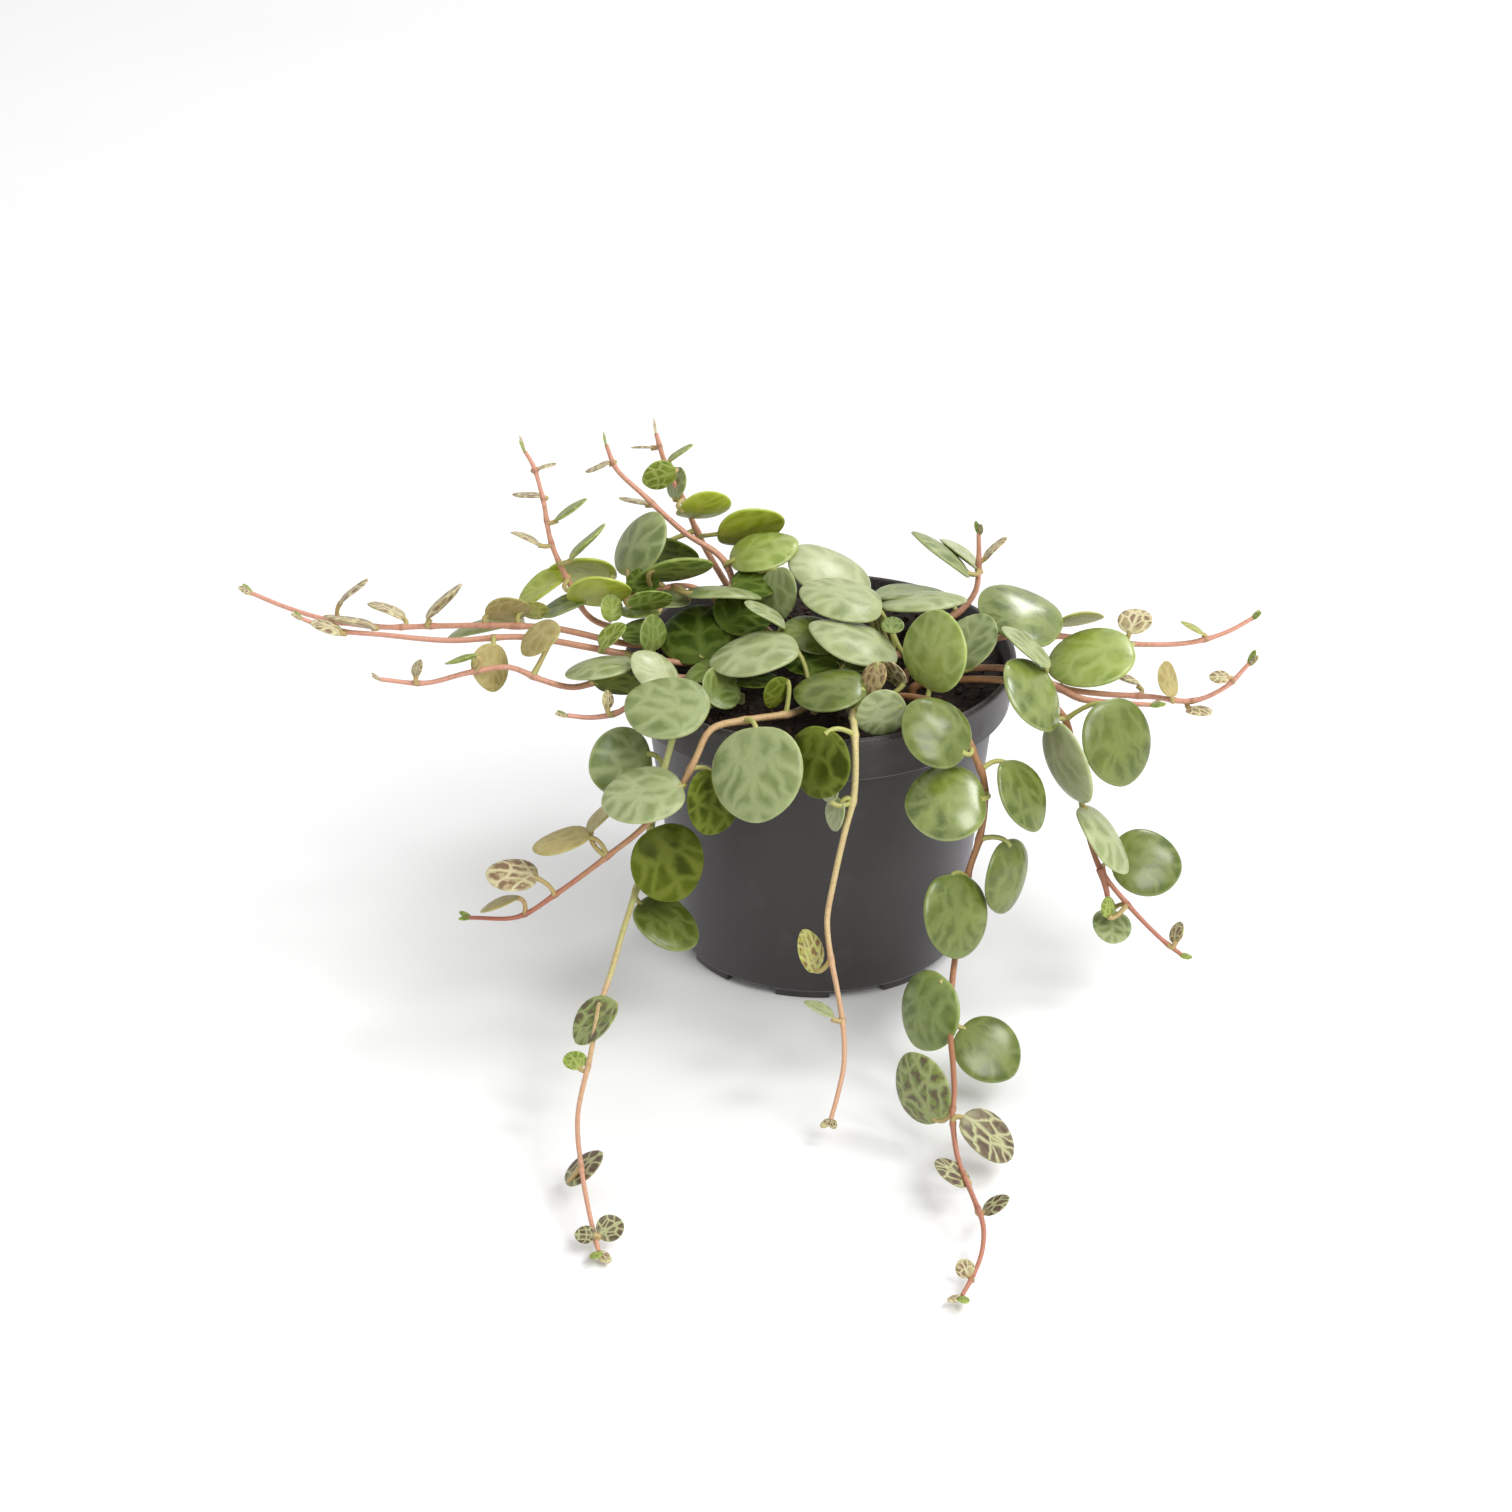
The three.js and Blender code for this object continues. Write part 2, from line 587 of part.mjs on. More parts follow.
function makeStem(string) {
  const curve = stemCurve(string);
  const parts = [];
  const addTube = (path) => {
    const steps = Math.ceil(path.getLength() / STEM_STEP);
    parts.push(tube(path, STEM_RADIUS, STEM_RADIUS * TIP_SHARE, STEM_SIDES, steps));
  };
  addTube(curve);
  (string.forks ?? []).forEach((fork) => {
    addTube(new THREE.CatmullRomCurve3(fork.map(onPot), false, 'centripetal'));
  });
  string.leaves.forEach((leaf) => {
    parts.push(stalk(curve, leaf, -GAP - 2 * STALK_RADIUS));
  });
  string.young.forEach((leaf) => {
    parts.push(stalk(curve, leaf, leaf[3] * STALK_REACH));
    parts.push(youngLeaf(leaf[3]).applyMatrix4(leafPlace(leaf)));
  });
  const joined = parts.map(solidOf).reduce((whole, part) => whole.add(part));
  const pieces = solidOf(geometryOf(joined)).decompose().filter((piece) => Math.abs(piece.volume()) > SPECK);
  return geometryOf(wasm.Manifold.compose(pieces));
}

// ---------------------------------------------------------------- finishes
const paint = (color, roughness) => new THREE.MeshStandardMaterial({
  color, roughness, metalness: 0,
});
const POT_PLASTIC = paint('#4a484b', 0.55);
const SOIL_EARTH = paint('#2d211b', 0.95);
const STEM_SKIN = paint('#b9705f', 0.5);
const LEAF_SKIN = paint('#7d9a56', 0.35);

// ---------------------------------------------------------------- the assembly
const plant = new THREE.Group();

function add(name, geometry, material) {
  const mesh = new THREE.Mesh(geometry, material);
  mesh.name = name;
  plant.add(mesh);
  return mesh;
}

add('pot', makePot(), POT_PLASTIC);
add('soil', makeSoil(), SOIL_EARTH);
STRINGS.forEach((string) => {
  add(`stem_${string.name}`, makeStem(string), STEM_SKIN);
  string.leaves.forEach((leaf, index) => {
    const mesh = add(`leaf_${string.name}_${index + 1}`, grownLeaf(leaf[3]), LEAF_SKIN);
    mesh.applyMatrix4(leafPlace(leaf));
  });
});

export default plant;
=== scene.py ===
# %% [markdown]
# # A potted string of turtles
# Peperomia prostrata is a small trailing plant: threads of stem with round, thick leaves that
# carry pale veins like the shell of a turtle. This lesson dresses a fixed model of one in a
# nursery pot. The model gives every place, and here each piece gets its fine shape and finish.

import math
import random

import bmesh
import bpy
from mathutils import Matrix, Vector, noise
from mathutils.kdtree import KDTree


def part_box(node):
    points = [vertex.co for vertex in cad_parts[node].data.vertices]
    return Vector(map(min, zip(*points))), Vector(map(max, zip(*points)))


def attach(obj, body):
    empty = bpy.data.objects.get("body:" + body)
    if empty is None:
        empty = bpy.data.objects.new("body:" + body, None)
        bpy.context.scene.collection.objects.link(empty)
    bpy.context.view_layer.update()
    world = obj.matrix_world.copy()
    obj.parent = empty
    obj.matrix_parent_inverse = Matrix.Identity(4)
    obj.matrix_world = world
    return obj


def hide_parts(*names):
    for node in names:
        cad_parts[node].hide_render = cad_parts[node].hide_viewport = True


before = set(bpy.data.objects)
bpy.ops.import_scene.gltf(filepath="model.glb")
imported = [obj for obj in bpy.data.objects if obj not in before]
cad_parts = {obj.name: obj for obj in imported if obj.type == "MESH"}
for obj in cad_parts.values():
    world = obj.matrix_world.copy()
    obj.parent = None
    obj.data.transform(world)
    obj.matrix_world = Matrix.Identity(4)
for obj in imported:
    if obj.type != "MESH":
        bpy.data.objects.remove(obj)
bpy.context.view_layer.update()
MM = 0.001
print("fixed pieces:", len(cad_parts))

# %% [markdown]
# ## Working by hand, from a script
# A modelling operator acts on whatever is selected, so each step clears the selection first.
# Faces and points are then picked by where they are, as one would by eye.


# %% Selecting
def only(*things):
    """Selects these objects and nothing else, the first one active."""
    bpy.ops.object.select_all(action="DESELECT")
    for thing in things:
        thing.select_set(True)
    bpy.context.view_layer.objects.active = things[0]


def pick(kind, test):
    """In edit mode, selects the verts, edges or faces for which test says yes."""
    bpy.ops.mesh.select_all(action="DESELECT")
    bpy.ops.mesh.select_mode(type={"verts": "VERT", "edges": "EDGE", "faces": "FACE"}[kind])
    sheet = bmesh.from_edit_mesh(bpy.context.object.data)
    for item in getattr(sheet, kind):
        item.select_set(bool(test(item)))
    sheet.select_flush_mode()
    bmesh.update_edit_mesh(bpy.context.object.data)


# %% Editing and finishing
def edit(on):
    bpy.ops.object.mode_set(mode="EDIT" if on else "OBJECT")


def apply(thing, kind, **settings):
    """Adds a modifier with these settings and applies it."""
    only(thing)
    modifier = thing.modifiers.new(kind.title(), kind)
    for name, value in settings.items():
        setattr(modifier, name, value)
    bpy.ops.object.modifier_apply(modifier=modifier.name)


def finished(thing, name, materials, replaces=()):
    """Names a piece, gives it its finish and hangs it on the plant."""
    thing.name = thing.data.name = name
    if materials:
        thing.data.materials.clear()
        for material in materials:
            thing.data.materials.append(material)
    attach(thing, "root")
    if replaces:
        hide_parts(*replaces)
    return thing


# %% [markdown]
# ## The camera
# The plant is seen from the front and a little above, with a long lens so that the near strings
# don't look too large. The lens is shifted a touch, which frames the pot off the middle.

# %% Camera
EYE_DISTANCE = 0.6
EYE_ELEVATION = math.radians(27.6)
AIM = Vector((0, 0, 0.025))
FRAME_PIXELS = 1512
LENS_PIXELS = 3852
camera_data = bpy.data.cameras.new("camera")
camera_data.sensor_width = 36
camera_data.lens = LENS_PIXELS / FRAME_PIXELS * camera_data.sensor_width
camera_data.shift_x = -0.0426
camera_data.shift_y = 0.0215
camera = bpy.data.objects.new("camera", camera_data)
bpy.context.scene.collection.objects.link(camera)
camera.location = AIM + EYE_DISTANCE * Vector(
    (0, -math.cos(EYE_ELEVATION), math.sin(EYE_ELEVATION)))
camera.rotation_euler = (math.pi / 2 - EYE_ELEVATION, 0, 0)
bpy.context.scene.camera = camera
print("lens in mm:", round(camera_data.lens, 1))

# %% [markdown]
# ## Shader sums
# A pattern is a sum of simple shapes. One small class wraps a socket, so that a line of Python
# such as `1 - mask` adds the Math node it stands for. Colours go through Mix nodes instead,
# because a Math node would turn them grey.


# %% A socket that can be used in sums
class Value:
    def __init__(self, finish, socket):
        self.finish, self.socket = finish, socket

    def math(self, operation, *others):
        sockets = dict(enumerate((self, *others)))
        return self.finish.add("Math", {"operation": operation}, sockets)

    def __add__(self, other):
        return self.math("ADD", other)

    def __mul__(self, other):
        return self.math("MULTIPLY", other)

    def __sub__(self, other):
        return self.math("SUBTRACT", other)

    def __rsub__(self, other):
        return self.finish.add("Math", {"operation": "SUBTRACT"}, {0: other, 1: self})

    def __truediv__(self, other):
        return self.math("DIVIDE", other)

    def __pow__(self, other):
        return self.math("POWER", other)

    __radd__, __rmul__ = __add__, __mul__

    def size(self):
        return self.math("ABSOLUTE")

    def most(self, other):
        return self.math("MAXIMUM", other)


# %% A material and its nodes
class Finish:
    def __init__(self, name, **constants):
        self.material = bpy.data.materials.new(name)
        self.material.use_nodes = True
        self.tree = self.material.node_tree
        self.shader = self.tree.nodes["Principled BSDF"]
        for socket, value in constants.items():
            self.shader.inputs[socket.replace("_", " ")].default_value = value

    def add(self, kind, settings=None, sockets=None, out=0):
        """Adds a node: first its settings, then the values or links of its sockets."""
        node = self.tree.nodes.new("ShaderNode" + kind)
        for name, value in (settings or {}).items():
            setattr(node, name, value)
        for name, value in (sockets or {}).items():
            self.plug(value, node.inputs[name])
        return Value(self, node.outputs[out])

    def plug(self, value, socket):
        if isinstance(value, Value):
            self.tree.links.new(value.socket, socket)
        elif isinstance(value, tuple) and len(socket.default_value) == 4:
            socket.default_value = (*value[:3], 1)
        else:
            socket.default_value = value

    def wear(self, **sockets):
        """Plugs what varies into the shader."""
        for name, value in sockets.items():
            self.plug(value, self.shader.inputs[name.replace("_", " ")])
        return self.material


# %% The patterns that every finish here uses
def mixed(finish, share, first, second):
    """A colour between two, by a share from 0 to 1."""
    return finish.add("Mix", {"data_type": "RGBA"}, {0: share, 6: first, 7: second}, out=2)


def step(finish, value, start, end):
    """0 before start and 1 after end, smooth between."""
    return finish.add("MapRange", {"interpolation_type": "SMOOTHSTEP"},
                      {"Value": value, "From Min": start, "From Max": end})


def grain(finish, millimetres, detail=2, offset=(0, 0, 0), stretch=(1, 1, 1)):
    """Noise about 0.5, with lumps of this size on the piece."""
    place = finish.add("TexCoord", out=3)
    moved = finish.add("Mapping", sockets={0: place, "Location": offset, "Scale": stretch})
    return finish.add("TexNoise", sockets={
        "Vector": moved, "Scale": 1 / (millimetres * MM), "Detail": detail})


def bump(finish, height, millimetres, strength=1.0):
    return finish.add("Bump", sockets={
        "Height": height, "Distance": millimetres * MM, "Strength": strength})


# %% [markdown]
# ## The floor and the light
# The pot stands on a white table in a bright, even room, so most of the light is the world's
# own. Three square lamps stand for windows on the right. The broad, strong one in front throws
# the soft shadows to the left and back, and the two small ones, above and behind, lie as pale
# patches on the glossy leaves.

# %% Floor
FLOOR_SIDE = 6
bpy.ops.object.select_all(action="DESELECT")
bpy.ops.mesh.primitive_plane_add(size=FLOOR_SIDE)
floor = bpy.context.object
floor.name = "floor"
table = Finish("white_table", Roughness=0.75)
table_shade = mixed(table, grain(table, 60), (0.9, 0.9, 0.9), (0.93, 0.93, 0.93))
floor.data.materials.append(table.wear(Base_Color=table_shade))

# %% Room light and lamps
ROOM_LIGHT = 0.7
world = bpy.data.worlds.new("room")
bpy.context.scene.world = world
world.use_nodes = True
sky = world.node_tree.nodes["Background"]
sky.inputs["Color"].default_value = (1, 1, 1, 1)
sky.inputs["Strength"].default_value = ROOM_LIGHT


def softbox(name, place, size, watts):
    """A square lamp that faces the plant."""
    lamp = bpy.data.lights.new(name, "AREA")
    lamp.size, lamp.energy = size, watts
    lamp_object = bpy.data.objects.new(name, lamp)
    bpy.context.scene.collection.objects.link(lamp_object)
    lamp_object.location = place
    lamp_object.rotation_euler = (AIM - Vector(place)).to_track_quat("-Z", "Y").to_euler()


softbox("window_back", (0.38, 0.59, 0.66), 0.2, 1.7)
softbox("window_high", (0.6, -0.02, 0.75), 0.26, 2.4)
softbox("window_near", (0.45, -0.55, 0.72), 0.5, 5)
bpy.context.scene.view_settings.view_transform = "Standard"

# %% [markdown]
# ## The pot
# A nursery pot is one thin moulding of dark plastic, turned about its axis: a tapered wall, a
# thicker band under the lip, and a notched ring of feet so that water can run out. Growing the
# wall ring by ring from a circle keeps one closed skin, outside and in.

# %% A ring-by-ring turning
def turning(profile, sides):
    """A closed solid from [radius, height] rings, in mm, with both end rings filled."""
    bpy.ops.object.select_all(action="DESELECT")
    radius, height = profile[0]
    bpy.ops.mesh.primitive_circle_add(vertices=sides, radius=radius * MM, fill_type="NGON")
    edit(True)
    bpy.ops.transform.translate(value=(0, 0, height * MM))
    pick("edges", lambda edge: True)
    for new_radius, new_height in profile[1:]:
        bpy.ops.mesh.extrude_edges_move(
            TRANSFORM_OT_translate={"value": (0, 0, (new_height - height) * MM)})
        share = new_radius / radius
        bpy.ops.transform.resize(value=(share, share, 1), center_override=(0, 0, 0))
        radius, height = new_radius, new_height
    bpy.ops.mesh.edge_face_add()
    bpy.ops.mesh.select_all(action="SELECT")
    bpy.ops.mesh.normals_make_consistent(inside=False)
    edit(False)
    return bpy.context.object


# %% Pot
POT_SIDES = 96
RIM, RIM_Z = 30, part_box("pot")[1].z / MM
BAND_DEPTH = 7.1
BAND, BAND_Z = 29.1, RIM_Z - BAND_DEPTH
WALL_TOP = 26.8
BASE, BASE_Z = 22.2, 1.1
BASE_ROUND = 0.4
THICK = 0.9
FLOOR_Z = BASE_Z + 1.4
FOOT_IN = 19.8
PAD = 3.5
pot = turning([
    (PAD, 0), (PAD, BASE_Z), (FOOT_IN, BASE_Z), (BASE - BASE_ROUND, BASE_Z),
    (BASE, BASE_Z + BASE_ROUND),
    (WALL_TOP - 0.05, BAND_Z - 0.9), (WALL_TOP + 0.1, BAND_Z - 0.4), (BAND - 0.3, BAND_Z - 0.1),
    (BAND, BAND_Z + 0.2), (RIM - 0.12, RIM_Z - 1.1), (RIM, RIM_Z - 0.7), (RIM - 0.02, RIM_Z - 0.3),
    (RIM - 0.25, RIM_Z), (RIM - THICK + 0.1, RIM_Z), (RIM - THICK - 0.1, RIM_Z - 0.3),
    (BAND - THICK, BAND_Z + 0.9), (WALL_TOP - THICK, BAND_Z - 0.4),
    (BASE - THICK, FLOOR_Z + BASE_ROUND), (BASE - THICK - BASE_ROUND, FLOOR_Z),
], POT_SIDES)
print("pot faces:", len(pot.data.polygons))

# %% The feet
FEET = 8
FIRST_NOTCH = 60
MOULD_ROUND = 0.18


def in_foot(face):
    """On the underside's outer ring, and between two notches."""
    middle = face.calc_center_median() / MM
    turn = math.degrees(math.atan2(middle.y, middle.x)) - FIRST_NOTCH
    pitch = 360 / FEET
    from_notch = abs((turn + pitch / 2) % pitch - pitch / 2)
    ring = FOOT_IN < math.hypot(middle.x, middle.y) < BASE - BASE_ROUND
    return ring and abs(middle.z - BASE_Z) < 0.1 and from_notch > pitch / 4


edit(True)
pick("faces", in_foot)
bpy.ops.mesh.extrude_region_move(TRANSFORM_OT_translate={"value": (0, 0, -BASE_Z * MM)})
edit(False)
apply(pot, "BEVEL", width=MOULD_ROUND * MM, segments=2, limit_method="ANGLE",
      angle_limit=math.radians(40), harden_normals=False)
only(pot)
bpy.ops.object.shade_smooth_by_angle(angle=math.radians(35))
print("pot faces with feet:", len(pot.data.polygons))

# %% [markdown]
# ### Drain holes
# Six round holes in the floor let water out. A Boolean modifier with a short cylinder for each
# hole is the plain way to cut them.

# %% Drain holes
DRAINS, DRAIN_RADIUS, DRAIN_CIRCLE = 6, 2, 12
DRAIN_SIDES, DRAIN_DEPTH = 24, 4
for index in range(DRAINS):
    turn = index * math.tau / DRAINS
    bpy.ops.object.select_all(action="DESELECT")
    bpy.ops.mesh.primitive_cylinder_add(
        vertices=DRAIN_SIDES, radius=DRAIN_RADIUS * MM, depth=DRAIN_DEPTH * MM,
        location=(math.cos(turn) * DRAIN_CIRCLE * MM, math.sin(turn) * DRAIN_CIRCLE * MM,
                  (BASE_Z + FLOOR_Z) / 2 * MM))
    cutter = bpy.context.object
    apply(pot, "BOOLEAN", object=cutter, operation="DIFFERENCE", solver="EXACT")
    bpy.data.objects.remove(cutter)
print("pot faces with drains:", len(pot.data.polygons))

# %% [markdown]
# ### Pot plastic
# Recycled polypropylene is a warm dark grey that is nearly matt, with faint vertical streaks
# round it, small pits, dust on the lip and rubbed, paler patches. The sheen at the sides is the
# shader's own at a grazing angle, so only colour, roughness and bump are painted.

# %% Pot plastic
plastic = Finish("pot_plastic", Specular_IOR_Level=0.4, Sheen_Weight=0.35,
                 Sheen_Roughness=0.45, Sheen_Tint=(0.9, 0.86, 1, 1))
vertical_streaks = grain(plastic, 9, 4, stretch=(1, 1, 0.25))
speck = grain(plastic, 0.35, 3)
scuff = step(plastic, grain(plastic, 5, 6, offset=(0.02, 0, 0)), 0.56, 0.72)
height = plastic.add("SeparateXYZ", sockets={0: plastic.add("TexCoord", out=3)}, out=2)
lip_dust = step(plastic, height, (RIM_Z - 2.5) * MM, RIM_Z * MM) * step(plastic, speck, 0.45, 0.7)
foot_dust = (1 - step(plastic, height, 0, 5 * MM)) * step(plastic, vertical_streaks, 0.3, 0.7)
body = mixed(plastic, vertical_streaks, (0.026, 0.023, 0.021), (0.038, 0.033, 0.031))
body = mixed(plastic, scuff * 0.35, body, (0.06, 0.054, 0.054))
body = mixed(plastic, lip_dust * 0.5 + foot_dust * 0.2, body, (0.12, 0.1, 0.085))
pot_plastic = plastic.wear(
    Base_Color=body,
    Roughness=0.42 + scuff * 0.12 + speck * 0.12,
    Normal=bump(plastic, speck * 0.6 + vertical_streaks * 0.5, 0.12, 0.35))
finished(pot, "nursery_pot", [pot_plastic], ["pot"])
print("pot height in mm:", round(RIM_Z, 1))

# %% [markdown]
# ## The soil
# Potting mix is peat and composted bark: nearly black where it is moist, lumpy, with reddish
# fibres and a few pale grains. A turned body with many close rings on top can be pushed up and
# down by noise, and loose crumbs and fibres on it break up the last of the smoothness.

# %% Soil body
SOIL_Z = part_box("soil")[1].z / MM - 0.35
SOIL_TOP = BAND - THICK - 0.25
SOIL_LOW = FLOOR_Z + 0.3
SOIL_RINGS, SOIL_SIDES = 36, 120
soil_profile = [(BASE - 2, SOIL_LOW), (WALL_TOP - 1.6, BAND_Z - 0.4), (SOIL_TOP, BAND_Z + 1.4),
                (SOIL_TOP, SOIL_Z - 1)]
soil_profile += [(SOIL_TOP * (1 - ring / SOIL_RINGS) + 0.3, SOIL_Z) for ring in range(SOIL_RINGS)]
soil = turning(soil_profile, SOIL_SIDES)


def soil_height(x, y):
    """The height of the soil's top in mm at a place in mm."""
    coarse = noise.noise(Vector((x, y, 1)) * 0.16)
    lumps = noise.noise(Vector((x, y, 5)) * 0.5)
    crumbs = noise.noise(Vector((x, y, 9)) * 1.3)
    return SOIL_Z + 0.5 * coarse + 0.45 * lumps + 0.3 * crumbs


for point in soil.data.vertices:
    if point.co.z > (SOIL_Z - 0.1) * MM:
        place = point.co / MM
        point.co.z = soil_height(place.x, place.y) * MM
only(soil)
bpy.ops.object.shade_smooth()
print("soil top in mm:", round(SOIL_Z, 1))

# %% Soil finish
def soil_finish(name, dark, light, red):
    """Moist dark grain with fibres of a redder brown."""
    earth = Finish(name, Specular_IOR_Level=0.3)
    lumps = grain(earth, 1.6, 5)
    fine = grain(earth, 0.3, 4)
    fibre = grain(earth, 0.8, 2, offset=(0.01, 0.02, 0), stretch=(1, 5, 1))
    shade = mixed(earth, step(earth, lumps, 0.35, 0.68), dark, light)
    shade = mixed(earth, step(earth, fibre, 0.6, 0.68) * 0.6, shade, red)
    shade = mixed(earth, step(earth, fine, 0.7, 0.76) * 0.5, shade, (0.25, 0.2, 0.15))
    return earth.wear(Base_Color=shade, Roughness=0.95 - lumps * 0.3,
                      Normal=bump(earth, lumps + fine * 0.5, 0.5, 0.9))


soil_dark = soil_finish("peat", (0.008, 0.005, 0.004), (0.035, 0.021, 0.014), (0.09, 0.035, 0.02))
bark = soil_finish("bark_crumb", (0.02, 0.01, 0.007), (0.07, 0.036, 0.022), (0.14, 0.055, 0.03))
finished(soil, "soil_bed", [soil_dark], ["soil"])

# %% [markdown]
# ### Crumbs
# Loose crumbs are the same shape hundreds of times, so each is only a rough twenty-sided
# pebble, knocked out of round by a random stretch and half sunk in the bed.

# %% Crumbs
CRUMBS, CRUMB_LIFT = 620, 0.15
dice = random.Random(7)
bpy.ops.object.select_all(action="DESELECT")
bpy.ops.mesh.primitive_ico_sphere_add(subdivisions=1, radius=MM)
pebble = bpy.context.object
for point in pebble.data.vertices:
    point.co *= dice.uniform(0.75, 1.2)


def scattered(count, size_range, name):
    """Copies of the pebble, joined to one piece."""
    crumbs = []
    for _ in range(count):
        out = (SOIL_TOP - 0.8) * math.sqrt(dice.random())
        turn = dice.uniform(0, math.tau)
        x, y = math.cos(turn) * out, math.sin(turn) * out
        size = dice.uniform(*size_range)
        middle = Vector((x, y, soil_height(x, y) + size * CRUMB_LIFT))
        mesh = pebble.data.copy()
        mesh.transform(
            Matrix.Translation(middle * MM)
            @ Matrix.Rotation(dice.uniform(0, math.tau), 4, "Z")
            @ Matrix.Rotation(dice.uniform(0, math.tau), 4, "X")
            @ Matrix.Diagonal((size, size * dice.uniform(0.5, 1),
                               size * dice.uniform(0.4, 0.8), 1)))
        crumb = bpy.data.objects.new(name, mesh)
        bpy.context.scene.collection.objects.link(crumb)
        crumbs.append(crumb)
    only(*crumbs)
    bpy.ops.object.join()
    return bpy.context.object


crumbs = scattered(CRUMBS, (0.35, 0.85), "crumbs")
finished(crumbs, "soil_crumbs", [bark])
bpy.data.objects.remove(pebble)
print("crumb faces:", len(crumbs.data.polygons))

# %% [markdown]
# ## Threads
# Stems, stalks and soil fibres are all thin round lines through a few places. A curve with a
# round bevel makes one, with its own radius at each point, and it is then turned into a mesh.


# %% A smooth line through places
def smooth_line(places, spacing):
    """Points about `spacing` apart on a centripetal spline through the places."""
    first, last = places[0] * 2 - places[1], places[-1] * 2 - places[-2]
    knots = [first, *places, last]
    line = []
    for before, start, end, after in zip(knots, knots[1:], knots[2:], knots[3:]):
        lead, span, trail = ((b - a).length ** 0.5
                             for a, b in ((before, start), (start, end), (end, after)))
        leave = ((start - before) / lead - (end - before) / (lead + span)
                 + (end - start) / span) * span
        arrive = ((end - start) / span - (after - start) / (span + trail)
                  + (after - end) / trail) * span
        count = max(1, round((end - start).length / spacing))
        for index in range(count):
            t = index / count
            line.append(start + leave * t + (end * 3 - start * 3 - leave * 2 - arrive) * t * t
                        + (start * 2 - end * 2 + leave + arrive) * t * t * t)
    return [*line, places[-1]]


# %% Threads to mesh
def threads(name, lines, sides=1):
    """One mesh of round tubes from (places in mm, radii in mm) lines, with closed ends."""
    curve = bpy.data.curves.new(name, "CURVE")
    curve.dimensions, curve.bevel_depth = "3D", MM
    curve.bevel_resolution, curve.use_fill_caps = sides, True
    for places, radii in lines:
        spline = curve.splines.new("POLY")
        spline.points.add(len(places) - 1)
        for point, place, radius in zip(spline.points, places, radii):
            point.co, point.radius = (*(place * MM), 1), radius
        spline.use_smooth = True
    thread = bpy.data.objects.new(name, curve)
    bpy.context.scene.collection.objects.link(thread)
    only(thread)
    bpy.ops.object.convert(target="MESH")
    return bpy.context.object


# %% Soil fibres
FIBRES, FIBRE_STEP = 90, 0.9
fibre_lines = []
for _ in range(FIBRES):
    out = (SOIL_TOP - 2.5) * math.sqrt(dice.random())
    turn, heading = dice.uniform(0, math.tau), dice.uniform(0, math.tau)
    x, y = math.cos(turn) * out, math.sin(turn) * out
    places = []
    for _ in range(5):
        lift = dice.uniform(0.1, 0.6)
        places.append(Vector((x, y, soil_height(x, y) + lift)))
        heading += dice.uniform(-0.7, 0.7)
        x, y = x + math.cos(heading) * FIBRE_STEP, y + math.sin(heading) * FIBRE_STEP
        reach = min(1, (SOIL_TOP - 0.6) / math.hypot(x, y))
        x, y = x * reach, y * reach
    line = smooth_line(places, 0.5)
    fibre_lines.append((line, [dice.uniform(0.07, 0.12)] * len(line)))
fibres = threads("fibres", fibre_lines, sides=0)
finished(fibres, "soil_fibres", [bark])
print("fibre faces:", len(fibres.data.polygons))

# %% [markdown]
# ## One leaf
# A full-grown leaf is a thick round pad, broadest near its stalk, domed above and flatter
# below, with a rounded edge and a hint of a point. It is drawn once at a radius of 1, with its
# tip along +X and its upper side up. Insets make the rings that carry the dome, a copy turned
# over makes the underside, and bridging the two edges closes the pad.


# %% Leaf rings
def dome(sides, rings):
    """A disc of radius 1 whose inset rings rise to these heights."""
    bpy.ops.object.select_all(action="DESELECT")
    bpy.ops.mesh.primitive_circle_add(vertices=sides, radius=1, fill_type="NGON")
    edit(True)
    bpy.ops.mesh.select_mode(type="FACE")
    bpy.ops.mesh.select_all(action="SELECT")
    out, up = 1, 0
    for new_out, new_up in rings:
        bpy.ops.mesh.inset(thickness=0)
        share = new_out / out
        bpy.ops.transform.resize(value=(share, share, 1), center_override=(0, 0, 0))
        bpy.ops.transform.translate(value=(0, 0, new_up - up))
        out, up = new_out, new_up
    bpy.ops.mesh.poke()
    return bpy.context.object


EDGE_THICK, UNDER_SHARE = 0.055, 0.4


def leaf_pad(sides, rings, levels):
    """The closed pad: the dome, a flatter copy of it turned under, and a band joining their edges.
    """
    pad = dome(sides, rings)
    bpy.ops.mesh.select_all(action="SELECT")
    bpy.ops.mesh.duplicate()
    bpy.ops.transform.resize(value=(1, 1, -UNDER_SHARE), center_override=(0, 0, 0))
    bpy.ops.transform.translate(value=(0, 0, -EDGE_THICK))
    pick("edges", lambda edge: edge.is_boundary)
    bpy.ops.mesh.bridge_edge_loops()
    bpy.ops.mesh.select_all(action="SELECT")
    bpy.ops.mesh.normals_make_consistent(inside=False)
    edit(False)
    apply(pad, "SUBSURF", levels=levels, render_levels=levels)
    return pad


# %% Leaf outline
STALK_NOTCH, TIP_POINT = 0.04, 0.03
LEAF_BROADER = 0.05
LEAF_SWELL = 1.03


